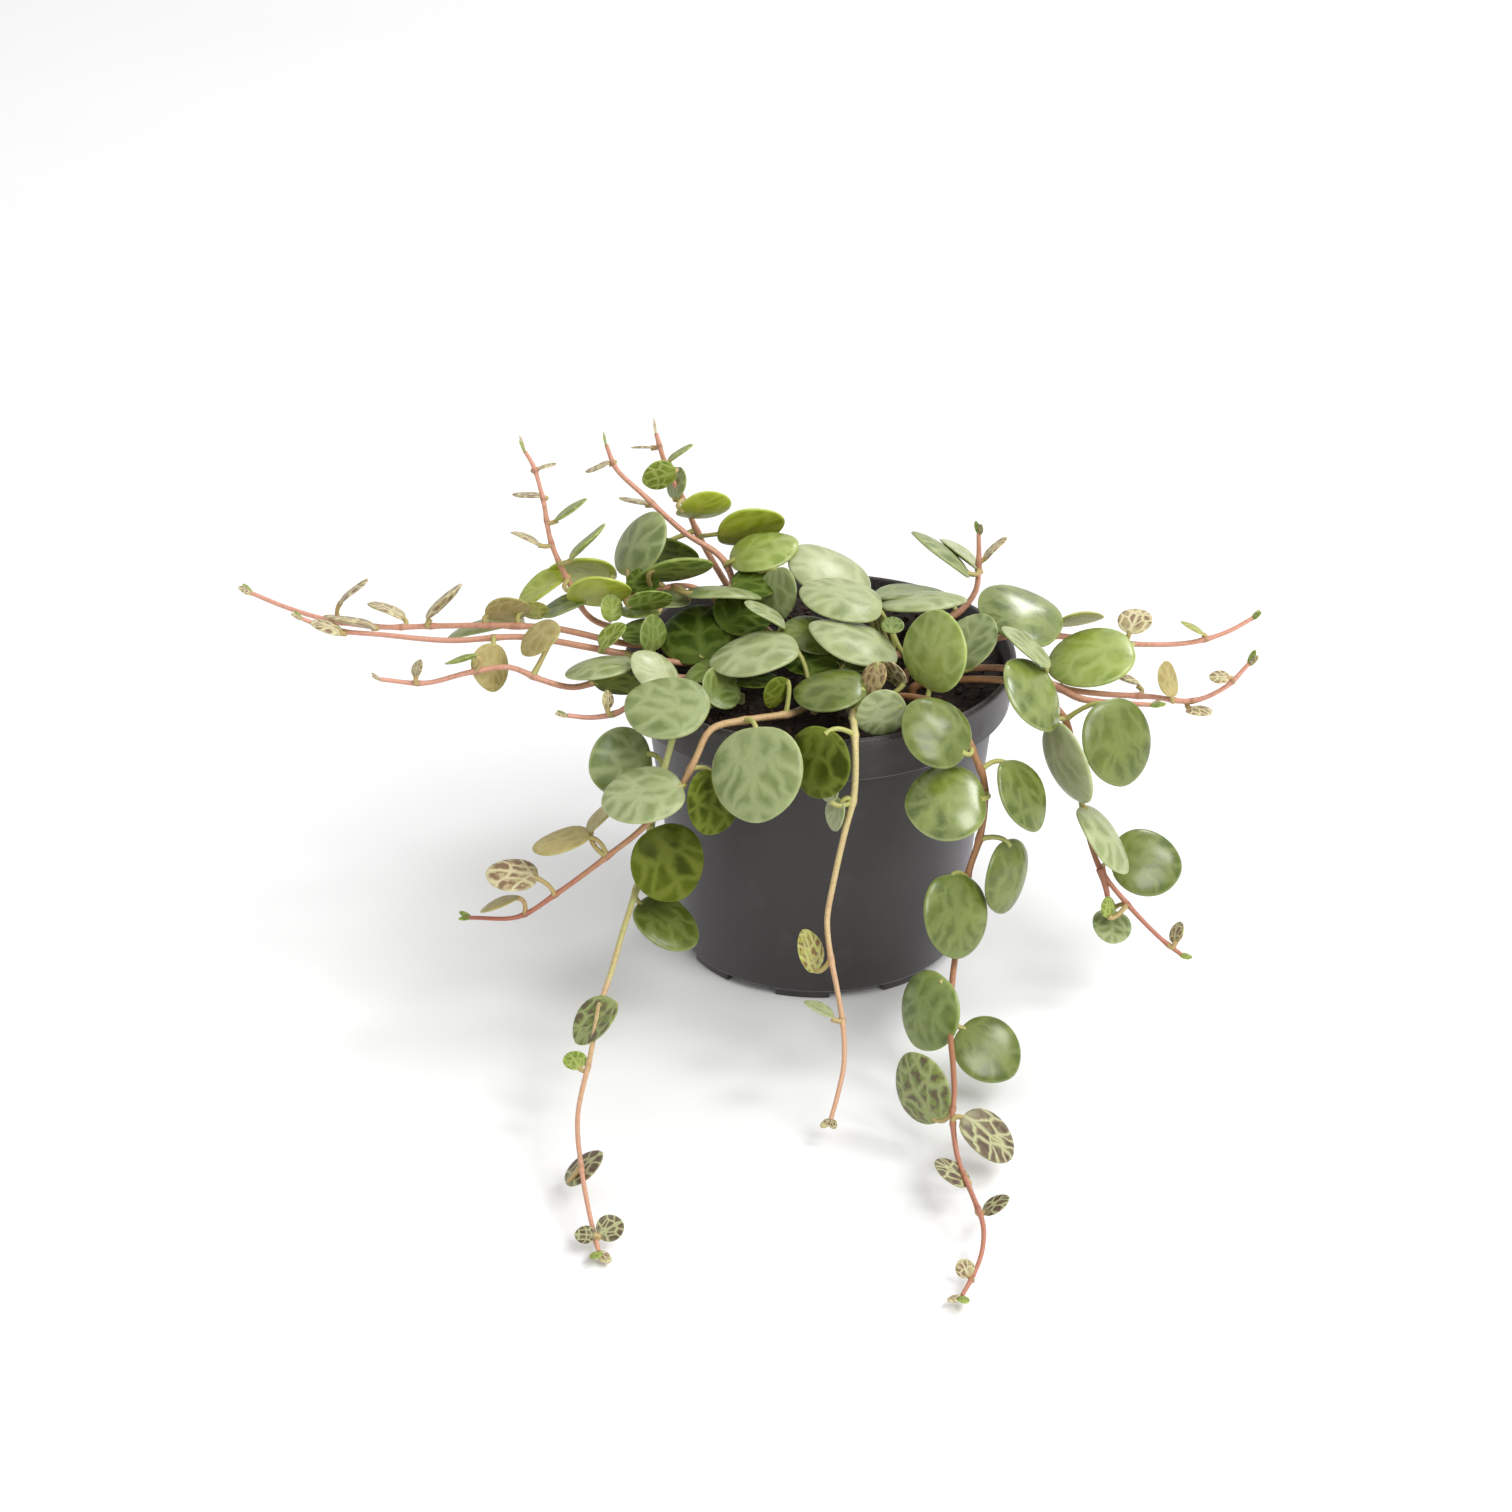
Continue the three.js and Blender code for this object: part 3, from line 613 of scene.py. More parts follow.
def outlined(pad):
    """Gives the pad its full radius again, its outline, its UV map and its two sides."""
    radius = max(math.hypot(point.co.x, point.co.y) for point in pad.data.vertices)
    pad.data.transform(Matrix.Diagonal((1 / radius, 1 / radius, 1, 1)))
    uv_map = pad.data.uv_layers.active or pad.data.uv_layers.new(name="Blade")
    uv_map.name = "Blade"
    for loop in pad.data.loops:
        co = pad.data.vertices[loop.vertex_index].co
        uv_map.data[loop.index].uv = (co.x / 2 + 0.5, co.y / 2 + 0.5)
    for face in pad.data.polygons:
        face.material_index = 0 if face.normal.z > 0.05 else 1
        face.use_smooth = True
    for point in pad.data.vertices:
        out, turn = math.hypot(point.co.x, point.co.y), math.atan2(point.co.y, point.co.x)
        point.co.x += out ** 3 * (TIP_POINT * max(0, math.cos(turn)) ** 14
                                  + STALK_NOTCH * max(0, -math.cos(turn)) ** 14)
        point.co.y *= 1 - LEAF_BROADER * math.cos(turn)
    return pad


# %% The two leaves that all others are copied from
grown_pad = outlined(leaf_pad(20, [(0.94, 0.04), (0.76, 0.09), (0.45, 0.125), (0.16, 0.135)], 1))
young_pad = outlined(leaf_pad(12, [(0.9, 0.05), (0.5, 0.12)], 1))
print("faces, grown and young:", len(grown_pad.data.polygons), len(young_pad.data.polygons))

# %% [markdown]
# ### Leaf finish
# On the upper side pale veins enclose darker green fields, like the plates of a turtle's shell,
# and one vein runs down the middle. The pattern is drawn on the leaf's own UV map, from a cell
# pattern that is the same on both halves and leans towards the tip: how far a place is from
# its cell's edge tells how green it is. Each leaf carries one number that moves it to another
# part of the pattern. The wax on top makes the surface glossy, with fine pale specks in it. The
# underside is plainer and brighter.


# %% Vein pattern
FIELDS_PER_RADIUS = 1.6
FORWARD = 0.55
SOFTNESS = 2.8
WHIM_REACH = 9
PLATE_LUMP, SPECK_LUMP, DIMPLE_LUMP = 5.5, 0.22, 1.3
FLESH = dict(Subsurface_Radius=(0.4, 1.0, 0.1), Subsurface_Scale=0.0012)


def leaf_axes(finish, wobble):
    """Along and across the leaf from -1 to 1, pushed about by noise, and out from its middle."""
    uv = finish.add("UVMap", {"uv_map": "Blade"})
    along = finish.add("SeparateXYZ", sockets={0: uv}, out=0) * 2 - 1
    across = finish.add("SeparateXYZ", sockets={0: uv}, out=1) * 2 - 1
    radius = (along * along + across * across) ** 0.5
    along = along + (grain(finish, 2.6, 2) - 0.5) * wobble
    across = across + (grain(finish, 2.2, 2, offset=(0.3, 0.1, 0.2)) - 0.5) * wobble
    return along, across, radius


def veins(finish, along, across, width):
    """1 on the pale bands of the veins, 0 in the middle of each green field between them."""
    aside = across.size()
    whim = finish.add("Attribute", {"attribute_name": "whim"}, out=2)
    place = finish.add("CombineXYZ", sockets={
        0: along - aside * FORWARD + whim * WHIM_REACH, 1: aside})
    to_edge = finish.add(
        "TexVoronoi", {"voronoi_dimensions": "2D", "feature": "DISTANCE_TO_EDGE"},
        {"Vector": place, "Scale": FIELDS_PER_RADIUS, "Randomness": 0.8})
    net = 1 - step(finish, to_edge, 0.0, width * SOFTNESS)
    midrib = 1 - step(finish, aside / (1.35 - along * 0.45), 0.0, width * SOFTNESS * 0.6)
    return net.most(midrib)


# %% Upper side
def upper_side(name, dark, light, vein, rim, width=0.12, gloss=0.3, vein_share=0.62, wobble=0.34,
               speckle=0.12, blotch=None, coat=0.0, shine=0.4):
    """Two greens under a net of veins, with wax on top and a colour for the rim."""
    wax = Finish(name, Specular_IOR_Level=shine, Subsurface_Weight=0.12, Coat_Weight=coat,
                 Coat_Roughness=0.25, Coat_IOR=1.7, **FLESH)
    along, across, radius = leaf_axes(wax, wobble)
    bands = veins(wax, along, across, width)
    tone = grain(wax, PLATE_LUMP, 3)
    fine = grain(wax, SPECK_LUMP, 2)
    shade = mixed(wax, step(wax, tone, 0.4, 0.6), dark, light)
    if blotch:
        patch = step(wax, grain(wax, 1.1, 3, offset=(1, 0, 0)), 0.42, 0.56)
        shade = mixed(wax, patch, shade, blotch)
    from_stalk = ((along + 1) * (along + 1) + across * across) ** 0.5
    stalk_glow = 1 - step(wax, from_stalk, 0.05, 0.75)
    shade = mixed(wax, (bands * vein_share).most(stalk_glow * 0.5), shade, vein)
    shade = mixed(wax, step(wax, fine, 0.58, 0.72) * speckle, shade, vein)
    shade = mixed(wax, step(wax, radius, 0.93, 1.0) * 0.5, shade, rim)
    relief = bands * -0.5 + fine * 0.12 + grain(wax, DIMPLE_LUMP, 2) * 0.7
    return wax.wear(
        Base_Color=shade,
        Roughness=gloss + bands * 0.1 + grain(wax, 1.4, 3) * 0.16,
        Normal=bump(wax, relief, 0.18, 0.7))


# %% Underside
def underside(name, dark, light, vein, gloss):
    """A plainer, duller skin with a hint of the veins."""
    skin = Finish(name, Specular_IOR_Level=0.22, Subsurface_Weight=0.15, **FLESH)
    along, across, radius = leaf_axes(skin, 0.16)
    bands = veins(skin, along, across, 0.06)
    shade = mixed(skin, step(skin, grain(skin, 3.5, 4), 0.35, 0.66), dark, light)
    shade = mixed(skin, bands * 0.3, shade, vein)
    shade = mixed(skin, step(skin, radius, 0.88, 1) * 0.5, shade, vein)
    return skin.wear(Base_Color=shade, Roughness=gloss + grain(skin, 1, 3) * 0.14,
                     Normal=bump(skin, bands + grain(skin, 0.9, 3) * 0.5, 0.1, 0.4))


# %% The ages of leaf on this plant, and painted light and shade in their greens
LEAF_SKINS = {}


def shade_of(red, green, blue):
    """A colour from thousandths."""
    return red / 1000, green / 1000, blue / 1000


def leaf_skin(look, *colours, under, under_gloss=0.38, blotch=None, **more):
    """A kind of leaf: the dark, light, vein and rim colours of its upper side, its underside.
    In the green kinds these colours also carry painted light and shade.
    """
    blotch = blotch and shade_of(*blotch)
    LEAF_SKINS[look] = (
        upper_side("leaf_" + look, *(shade_of(*c) for c in colours), blotch=blotch, **more),
        underside("under_" + look, *(shade_of(*c) for c in under), under_gloss))


# The green kinds (dark, shade, shaded, deep, mid, glossy, bright, pale, silver and light) are
# partly the leaves' own colours and partly painted light and shade: each leaf wears the grade that
# matches how lit it stands, a darker one in the shadow of other leaves and a paler one where the
# light falls full on it.
leaf_skin("glossy", (77, 114, 6), (176, 233, 31), (299, 361, 106), (380, 436, 141),
          under=((211, 282, 28), (296, 366, 63), (394, 451, 141)), gloss=0.26, vein_share=0.42,
          wobble=0.6, speckle=0.3, coat=1.0, shine=0.2)
leaf_skin("pale", (141, 190, 54), (204, 253, 82), (366, 422, 197), (394, 436, 183),
          under=((239, 310, 42), (324, 380, 77), (408, 465, 169)), speckle=0.15, coat=0.15)
leaf_skin("silver", (211, 260, 96), (282, 331, 134), (451, 500, 268), (465, 507, 253),
          under=((310, 366, 99), (394, 436, 141), (479, 521, 225)), speckle=0.15, coat=0.15)
leaf_skin("bright", (183, 253, 28), (268, 338, 56), (408, 479, 155), (422, 507, 141),
          under=((282, 387, 26), (387, 484, 62), (493, 563, 158)), width=0.11, gloss=0.26,
          vein_share=0.45, wobble=0.4, speckle=0.15, coat=0.4)
leaf_skin("mid", (92, 148, 18), (162, 218, 40), (303, 373, 120), (338, 408, 127),
          under=((197, 282, 17), (268, 352, 42), (366, 436, 99)), width=0.11, gloss=0.26,
          vein_share=0.5, wobble=0.4, coat=0.4, shine=0.25)
# Painted light: the palest green, also worn by a few leaves to stand in for a highlight or for
# light falling full on them.
leaf_skin("light", (317, 352, 158), (387, 422, 202), (493, 528, 299), (493, 528, 282),
          under=((317, 370, 106), (387, 440, 141), (475, 510, 229)), speckle=0.15, coat=0.3)
leaf_skin("shade", (40, 55, 2), (88, 114, 7), (194, 229, 35), (176, 220, 26),
          under=((88, 132, 4), (132, 176, 9), (185, 238, 26)), width=0.1, gloss=0.4,
          vein_share=0.55, wobble=0.36, speckle=0.05, shine=0.1)
leaf_skin("deep", (75, 107, 8), (123, 163, 18), (220, 273, 70), (264, 317, 106),
          under=((176, 246, 18), (238, 308, 40), (334, 396, 97)), vein_share=0.45, wobble=0.5,
          speckle=0.2, coat=0.5, shine=0.2)
# Painted backlight: a bright yellow-green on both sides for leaves that the light shines through
# from behind, partly their own yellow-green.
leaf_skin("sunny", (282, 352, 13), (387, 440, 31), (493, 546, 97), (510, 563, 114),
          under=((493, 581, 5), (598, 669, 18), (616, 669, 70)), vein_share=0.5, wobble=0.36,
          speckle=0.15, coat=0.2)
leaf_skin("dark", (31, 61, 4), (63, 101, 9), (169, 232, 42), (169, 225, 42),
          under=((84, 141, 4), (127, 183, 9), (183, 239, 21)), width=0.085, gloss=0.4,
          vein_share=0.6, wobble=0.36, speckle=0.05, shine=0.1)
leaf_skin("shaded", (84, 141, 11), (141, 204, 21), (282, 366, 84), (338, 408, 99),
          under=((169, 246, 2), (268, 352, 4), (380, 451, 28)), width=0.1, vein_share=0.85,
          wobble=0.36, speckle=0.1)
leaf_skin("olive", (239, 239, 42), (338, 338, 70), (465, 465, 141), (493, 465, 155),
          under=((282, 282, 35), (380, 380, 63), (493, 479, 127)), width=0.1, gloss=0.34,
          vein_share=0.6, wobble=0.3)
leaf_skin("young", (370, 299, 150), (484, 405, 211), (651, 581, 352), (581, 493, 299),
          under=((422, 378, 150), (528, 458, 211), (598, 528, 299)), width=0.075, gloss=0.34,
          vein_share=1.0, blotch=(229, 141, 79))
leaf_skin("brown", (123, 88, 48), (167, 132, 70), (440, 440, 229), (352, 317, 158),
          under=((264, 211, 62), (352, 290, 97), (440, 387, 167)), width=0.07, gloss=0.34,
          vein_share=1.0, wobble=0.4, blotch=(97, 57, 35))
leaf_skin("patched", (150, 198, 40), (194, 246, 57), (352, 405, 158), (334, 387, 132),
          under=((211, 264, 26), (290, 352, 53), (396, 440, 123)), width=0.075, vein_share=0.8,
          wobble=0.4, blotch=(114, 88, 44))
leaf_skin("fresh", (194, 264, 31), (264, 334, 53), (405, 466, 132), (422, 484, 141),
          under=((264, 352, 18), (370, 440, 44), (475, 528, 123)), width=0.08, vein_share=0.8,
          blotch=(150, 202, 26))
leaf_skin("speckled", (299, 290, 53), (387, 378, 88), (484, 484, 176), (458, 475, 123),
          under=((299, 290, 53), (387, 370, 88), (475, 458, 158)), width=0.08, gloss=0.34,
          vein_share=0.8, blotch=(176, 97, 31))
leaf_skin("tan", (317, 255, 79), (405, 334, 123), (493, 422, 194), (440, 405, 141),
          under=((317, 273, 70), (405, 352, 106), (475, 440, 158)), width=0.1, gloss=0.36,
          vein_share=0.5)
leaf_skin("dry", (310, 211, 84), (451, 338, 155), (563, 451, 225), (507, 352, 169),
          under=((310, 211, 99), (436, 324, 169), (521, 394, 225)), width=0.1, gloss=0.6,
          vein_share=0.6, speckle=0.3, blotch=(169, 99, 42), under_gloss=0.6)
print("leaf finishes:", len(LEAF_SKINS) * 2)

# %% [markdown]
# ### Stem finish
# Stems are smooth and faintly glossy. Most are pink, the oldest rust-brown or straw-coloured,
# and each changes colour towards its tip, with a darker, rougher knot wherever a leaf or a side
# shoot starts. Each stem's mesh carries two numbers for this: how far along a place is, and how
# near a knot.


# %% Stem skin
def stem_skin(name, old, new, knot):
    skin = Finish(name, Specular_IOR_Level=0.45, Subsurface_Weight=0.1,
                  Subsurface_Radius=(1.0, 0.5, 0.3), Subsurface_Scale=0.0006)
    along = skin.add("Attribute", {"attribute_name": "along"}, out=2)
    knots = skin.add("Attribute", {"attribute_name": "knot"}, out=2)
    blotch = grain(skin, 2.5, 3)
    streak = grain(skin, 0.4, 2)
    shade = mixed(skin, step(skin, along + (blotch - 0.5) * 0.5, 0.25, 0.95), old, new)
    shade = mixed(skin, step(skin, streak, 0.45, 0.75) * 0.4, shade, knot)
    shade = mixed(skin, step(skin, knots + (blotch - 0.5) * 0.4, 0.35, 0.85) * 0.8, shade, knot)
    return skin.wear(Base_Color=shade, Roughness=0.36 + knots * 0.25 + streak * 0.1,
                     Normal=bump(skin, streak + blotch * 0.5, 0.12, 0.5))


STEM_COLOURS = {
    "pink": ((576, 298, 182), (672, 336, 240), (269, 121, 67)),
    "cream": ((538, 365, 173), (451, 154, 106), (288, 134, 67)),
    "rust": ((384, 192, 86), (461, 182, 115), (230, 96, 48)),
    "straw": ((634, 557, 250), (614, 346, 211), (403, 221, 106)),
    "blush": ((484, 511, 188), (634, 326, 221), (323, 175, 81)),
}
STEM_SKINS = {look: stem_skin("stem_" + look, *(shade_of(*c) for c in colours))
              for look, colours in STEM_COLOURS.items()}
STALK_COLOURS = ((444, 457, 134), (484, 336, 148), (403, 323, 121))
STALK_SKIN = stem_skin("leaf_stalk", *(shade_of(*c) for c in STALK_COLOURS))
print("stem finishes:", len(STEM_SKINS) + 1)

# %% [markdown]
# ## Growing a string
# A string is grown in the order in which it grows: the stem through its places, a stalk to each
# leaf, the leaves, and a bud of two tiny leaves at each tip. A leaf is given by its middle, its
# length, the compass direction that its upper side faces, how far that side tilts up, where its
# tip points within its own plane, and its finish.


# %% A leaf in its place
WHIM_PER_WAVE = 25


def leaf_matrix(x, y, z, length, facing, tilt, turn):
    """From the pattern leaf, of radius 1, to a leaf in its place, in metres."""
    return (Matrix.Translation(Vector((x, y, z)) * MM)
            @ Matrix.Rotation(math.radians(facing), 4, "Z")
            @ Matrix.Rotation(math.radians(90 - tilt), 4, "X")
            @ Matrix.Rotation(math.radians(turn), 4, "Z")
            @ Matrix.Scale(length / 2 * MM, 4))


def give_whim(mesh, whim):
    """One number for the whole leaf, so that no two have the same fields."""
    numbers = mesh.attributes.new("whim", "FLOAT", "POINT").data
    numbers.foreach_set("value", [whim] * len(mesh.vertices))


def place_leaf(pad, leaf, cup, fold, wave):
    """A copy of a pad, bent out of flat a little and carried to its place."""
    *place, finish = leaf
    mesh = pad.data.copy()
    for point in mesh.vertices:
        x, y, _ = point.co
        turn = math.atan2(y, x)
        point.co.z += (cup * (x * x + y * y) + fold * abs(y) ** 1.5
                       + wave * (x * x + y * y) * math.sin(3 * turn + 5 * wave * place[3]))
    mesh.transform(leaf_matrix(*place) @ Matrix.Scale(LEAF_SWELL, 4))
    give_whim(mesh, abs(wave) * WHIM_PER_WAVE)
    blade = bpy.data.objects.new("blade", mesh)
    bpy.context.scene.collection.objects.link(blade)
    mesh.materials.clear()
    for material in LEAF_SKINS[finish]:
        mesh.materials.append(material)
    return blade


# %% A stem with its knots
ROOT_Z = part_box("soil")[1].z / MM
STEM, TIP_SHARE, STALK = 0.6, 0.55, 0.38
KNOT_SWELL, KNOT_REACH = 0.3, 0.8


def stem_radii(line, knots):
    """Thinner towards the tip and thicker at each knot."""
    radii = []
    for index, place in enumerate(line):
        near = min((place - knot).length for knot in knots) / KNOT_REACH
        radius = STEM * (1 + (TIP_SHARE - 1) * index / len(line))
        radii.append(radius * (1 + KNOT_SWELL * math.exp(-near * near)))
    return radii


def stalk_line(line, leaf, into):
    """From the nearest place on the stem, turning into the leaf from behind its edge."""
    *place, _ = leaf
    carry = leaf_matrix(*place)
    half = place[3] / 2
    edge, before = (carry @ Vector((x / half, 0, -0.06)) / MM for x in (-half + into, -half - 1.6))
    start = min(line, key=lambda point: (point - edge).length)
    turn = before.lerp(start, 0.25)
    steps = [index / 6 for index in range(7)]
    return start, [start.lerp(turn, t).lerp(turn.lerp(edge, t), t) for t in steps]


# %% Marks along a stem
def mark(thread, line, knots):
    """Writes how far along each point is and how near a knot."""
    tree = KDTree(len(line))
    for index, place in enumerate(line):
        tree.insert(place * MM, index)
    tree.balance()
    points = thread.data.vertices
    along = [tree.find(point.co)[1] / len(line) for point in points]
    near = [min((point.co / MM - knot).length for knot in knots) / KNOT_REACH for point in points]
    for name, values in (("along", along), ("knot", [math.exp(-far * far) for far in near])):
        thread.data.attributes.new(name, "FLOAT", "POINT").data.foreach_set("value", values)


# %% A whole string
SPACING = 1.1
STALK_SWELL = (1.35, 1.05, 1, 1, 1, 1.05, 1.2)
STALK_OVERLAP = 0.08


def grow(name, root, route, stem="pink", forks=(), leaves=(), young=()):
    """Stem, stalks, leaves and buds. Young leaves become one piece, each old leaf its own."""
    whims = random.Random(name)
    root_place = Vector((*root, ROOT_Z + STEM + 0.3))
    below = Vector((*root, ROOT_Z - 1))
    line = smooth_line([below, root_place, *map(Vector, route)], SPACING)
    fork_lines = [smooth_line(list(map(Vector, fork)), SPACING) for fork in forks]
    stalks, knots = [], [root_place]
    for leaf in [*leaves, *young]:
        start, stalk = stalk_line(line, leaf, leaf[3] * STALK_OVERLAP)
        stalks.append((stalk, [STALK * share for share in STALK_SWELL]))
        knots.append(start)
    knots += [fork[0] for fork in fork_lines]
    tubes = [(line, stem_radii(line, knots))]
    tubes += [(fork, stem_radii(fork, knots)) for fork in fork_lines]
    vine = threads("vine", tubes)
    vine.data.materials.append(STEM_SKINS[stem])
    if stalks:
        stalk_mesh = threads("stalks", stalks)
        stalk_mesh.data.materials.append(STALK_SKIN)
        only(vine, stalk_mesh)
        bpy.ops.object.join()
    mark(vine, line, knots)
    finished(vine, "vine_" + name, None, ["stem_" + name])
    for index, leaf in enumerate(leaves, 1):
        blade = place_leaf(grown_pad, leaf, whims.uniform(-0.16, 0.0),
                           whims.uniform(-0.02, 0.08), whims.uniform(-0.04, 0.04))
        finished(blade, f"blade_{name}_{index}", None, [f"leaf_{name}_{index}"])
    sprouts = [place_leaf(young_pad, leaf, whims.uniform(-0.1, 0.12), whims.uniform(0, 0.2),
                          whims.uniform(-0.04, 0.04)) for leaf in young]
    for tip_line in [line, *fork_lines]:
        sprouts += bud(tip_line[-1], tip_line[-1] - tip_line[-3], whims)
    only(*sprouts)
    bpy.ops.object.join()
    finished(sprouts[0], "sprouts_" + name, None, ["stem_" + name])
    print(name, "leaves:", len(leaves), "young:", len(young))


# %% Buds
BUD_LENGTH = 2.1


def bud(tip, way, whims):
    """Two tiny leaves that stand apart at the end of a stem."""
    way = way.normalized()
    side = way.cross(Vector((0, 0, 1))).normalized()
    pair = []
    for sign in (-1, 1):
        out = (way + side * sign * whims.uniform(0.35, 0.7)
               + Vector((0, 0, whims.uniform(0.1, 0.6)))).normalized()
        length = BUD_LENGTH * whims.uniform(0.8, 1.3)
        up = out.cross(side * sign).normalized() * -sign
        across = up.cross(out).normalized()
        middle = tip + out * length * 0.45
        mesh = young_pad.data.copy()
        turned = Matrix((out, across, up)).transposed().to_4x4()
        size = Matrix.Diagonal((length / 2, length / 3, length / 2, 1))
        mesh.transform(Matrix.Translation(middle * MM) @ turned @ size @ Matrix.Scale(MM, 4))
        give_whim(mesh, length / 3)
        leaf = bpy.data.objects.new("bud", mesh)
        bpy.context.scene.collection.objects.link(leaf)
        mesh.materials.clear()
        for material in LEAF_SKINS[whims.choice(["young", "fresh"])]:
            mesh.materials.append(material)
        pair.append(leaf)
    return pair


# %% [markdown]
# ### The left-hand strings
# These run level over the rim on the left and then hang free in the air, held by their own
# stiffness. Their ends are the newest growth, with small cream leaves in brown patches.

# %% Left long
grow("left_long", root=(-12, 4), route=[
    (-22, 1, 48.9), (-30, -3, 51.5), (-40, -3, 53.9), (-48, -2.5, 54.2), (-58, -2, 53.9),
    (-67, -1.5, 53.5), (-75, -1, 54.5), (-81, 0, 56), (-86.5, 1, 58),
], leaves=[
    (-18.5, 0, 52.2, 12.2, -10, 70, 105, "dark"), (-51.5, 5.5, 50.7, 12, -150, 65, -25, "pale"),
], young=[
    (-47.5, -1, 56, 7, -170, 35, 170, "tan"), (-57, -1, 57.2, 7.6, -105, 45, 120, "young"),
    (-71, 0, 58.8, 5.8, -105, 50, 120, "young"), (-66, 1, 55.2, 6, 120, 65, 50, "young"),
    (-71, -4, 55.5, 8, 150, 65, 30, "young"), (-43.4, 0, 55.5, 4, -180, 21, 180, "olive"),
    (-11.8, 2, 54.0, 9, 12, 62, 30, "dark"),
])

# %% Left mid
grow("left_mid", root=(-14, -3), route=[
    (-25, -5, 49.6), (-35, -6, 52.2), (-45, -5.5, 53.7), (-56, -6.5, 53.6), (-66, -7, 54.8),
    (-74, -6, 55.2), (-78, -6, 57),
], leaves=[
    (-33, -12.4, 52.1, 10.2, -135, 78, -40, "silver"),
], young=[
    (-49.5, -9.5, 50.6, 7.2, -130, -20, -65, "tan"), (-74, -8.5, 56.8, 4.8, 100, 70, 70, "young"),
    (-25.5, -7, 55, 5.6, 50, 10, 75, "mid"), (-8.2, -6, 57.6, 7.2, 106, 57, 73, "silver"),
    (-31.2, -8, 55, 5, -68, 54, 96, "fresh"), (-27.2, -4, 53.7, 6, -20, 72, 150, "mid"),
])

# %% Left low
grow("left_low", root=(-14, -8), route=[
    (-24, -10, 49.2), (-30.5, -10, 49.5), (-37, -11.5, 48.2), (-42, -12.5, 50), (-46.5, -12.5, 52),
    (-52.5, -13, 51.4), (-59, -15, 50.6), (-65.5, -16, 51.7),
], young=[
    (-42, -10.5, 56, 6.9, -60, 55, -95, "tan"), (-60, -15, 53, 2.8, -60, 30, 110, "young"),
    (-53.5, -13.5, 53.6, 5, -140, 65, -35, "fresh"), (-24.5, -15.5, 53, 8, 60, 55, 95, "light"),
    (-29.9, -12, 49.6, 8.4, 175, 33, 175, "shade"), (-17.4, -12.5, 51.2, 6, -75, 72, -95, "mid"),
])

# %% Left short
grow("left_short", root=(-18, -10), route=[
    (-22, -14, 49), (-26.2, -17, 50), (-29.8, -18.5, 47.6), (-34, -18.5, 46.6), (-37.6, -19, 47.2),
], young=[
    (-31.6, -18.6, 49.6, 2.8, 60, 15, 65, "young"), (-15, -17, 50.6, 6.6, 45, 40, 25, "mid"),
])

# %% [markdown]
# ### The upright strings
# New shoots first stand up and look for light. They show the bright undersides of their
# leaves from the front, with the light that shines through them painted into their yellow-green.

# %% Upright left
grow("upright_left", root=(-17, 7), route=[
    (-27, 5, 49.4), (-35, 3.5, 52.5), (-38, 2.5, 58.5), (-40.8, 3, 65.5), (-41.9, 4, 72.3),
    (-43.3, 5, 77.4), (-44.4, 5, 79.5),
], leaves=[
    (-36.5, 8.5, 58.2, 10.6, 180, 45, 0, "sunny"),
    (-33.6, -1.8, 59.8, 9.6, -175, 40, -175, "sunny"),
], young=[
    (-44.2, 5, 72.3, 4.6, 170, 75, 15, "young"), (-37.8, 4, 70.4, 5.8, -105, 55, 115, "fresh"),
    (-44.5, 3, 66.2, 4.9, 120, 60, 55, "young"), (-35.3, 2, 65.9, 7.6, -105, 45, 120, "fresh"),
    (-41.4, 6, 76.8, 3, -125, 70, 130, "young"), (-42.5, 4, 57.4, 8, -80, 60, -90, "sunny"),
    (-38.9, 1.5, 55.4, 7.6, -100, 71, -72, "pale"),
])

# %% Crown left
grow("crown_left", root=(-9, 3), route=[
    (-14, 7.5, 52), (-19.5, 7.5, 56), (-23.5, 4, 57.6), (-28, 2.5, 57.6), (-32, 2.5, 55.8),
], leaves=[
    (-21.8, 2.5, 61.4, 11, -165, 50, -150, "shaded"),
    (-14.8, 1.5, 57.9, 11.5, 170, 70, -150, "pale"), (-28, 9, 62.8, 10.8, -60, 40, 110, "pale"),
], young=[
    (-25.8, -3.5, 58.8, 6.8, -168, 40, 168, "shaded"),
    (-31.7, -3, 57.4, 4.2, 43, 21, 71, "bright"), (-27.0, 3, 58.8, 5, 0, 60, 180, "dark"),
    (-27.4, 0, 55.5, 6.5, 0, 95, 180, "mid"), (-23.5, 4, 55.5, 7.5, -10, 93, 190, "silver"),
])

# %% Upright mid
grow("upright_mid", root=(-7, 8), route=[
    (-12, 9, 52), (-15, 12, 58.6), (-21, 13, 62.8), (-27.5, 14, 68.9), (-31.3, 14, 73),
    (-32.7, 14, 76.9),
], leaves=[
    (-9, 11.5, 60.8, 10.8, -60, 75, 75, "bright"),
], young=[
    (-34, 14, 73.1, 4, -115, 65, -60, "young"), (-28.8, 16, 66.6, 4.6, 145, 70, 30, "young"),
    (-6.4, 3, 57, 8.2, -50, 20, -65, "pale"), (-9.7, 6, 57.6, 8, -10, 78, 20, "dark"),
])

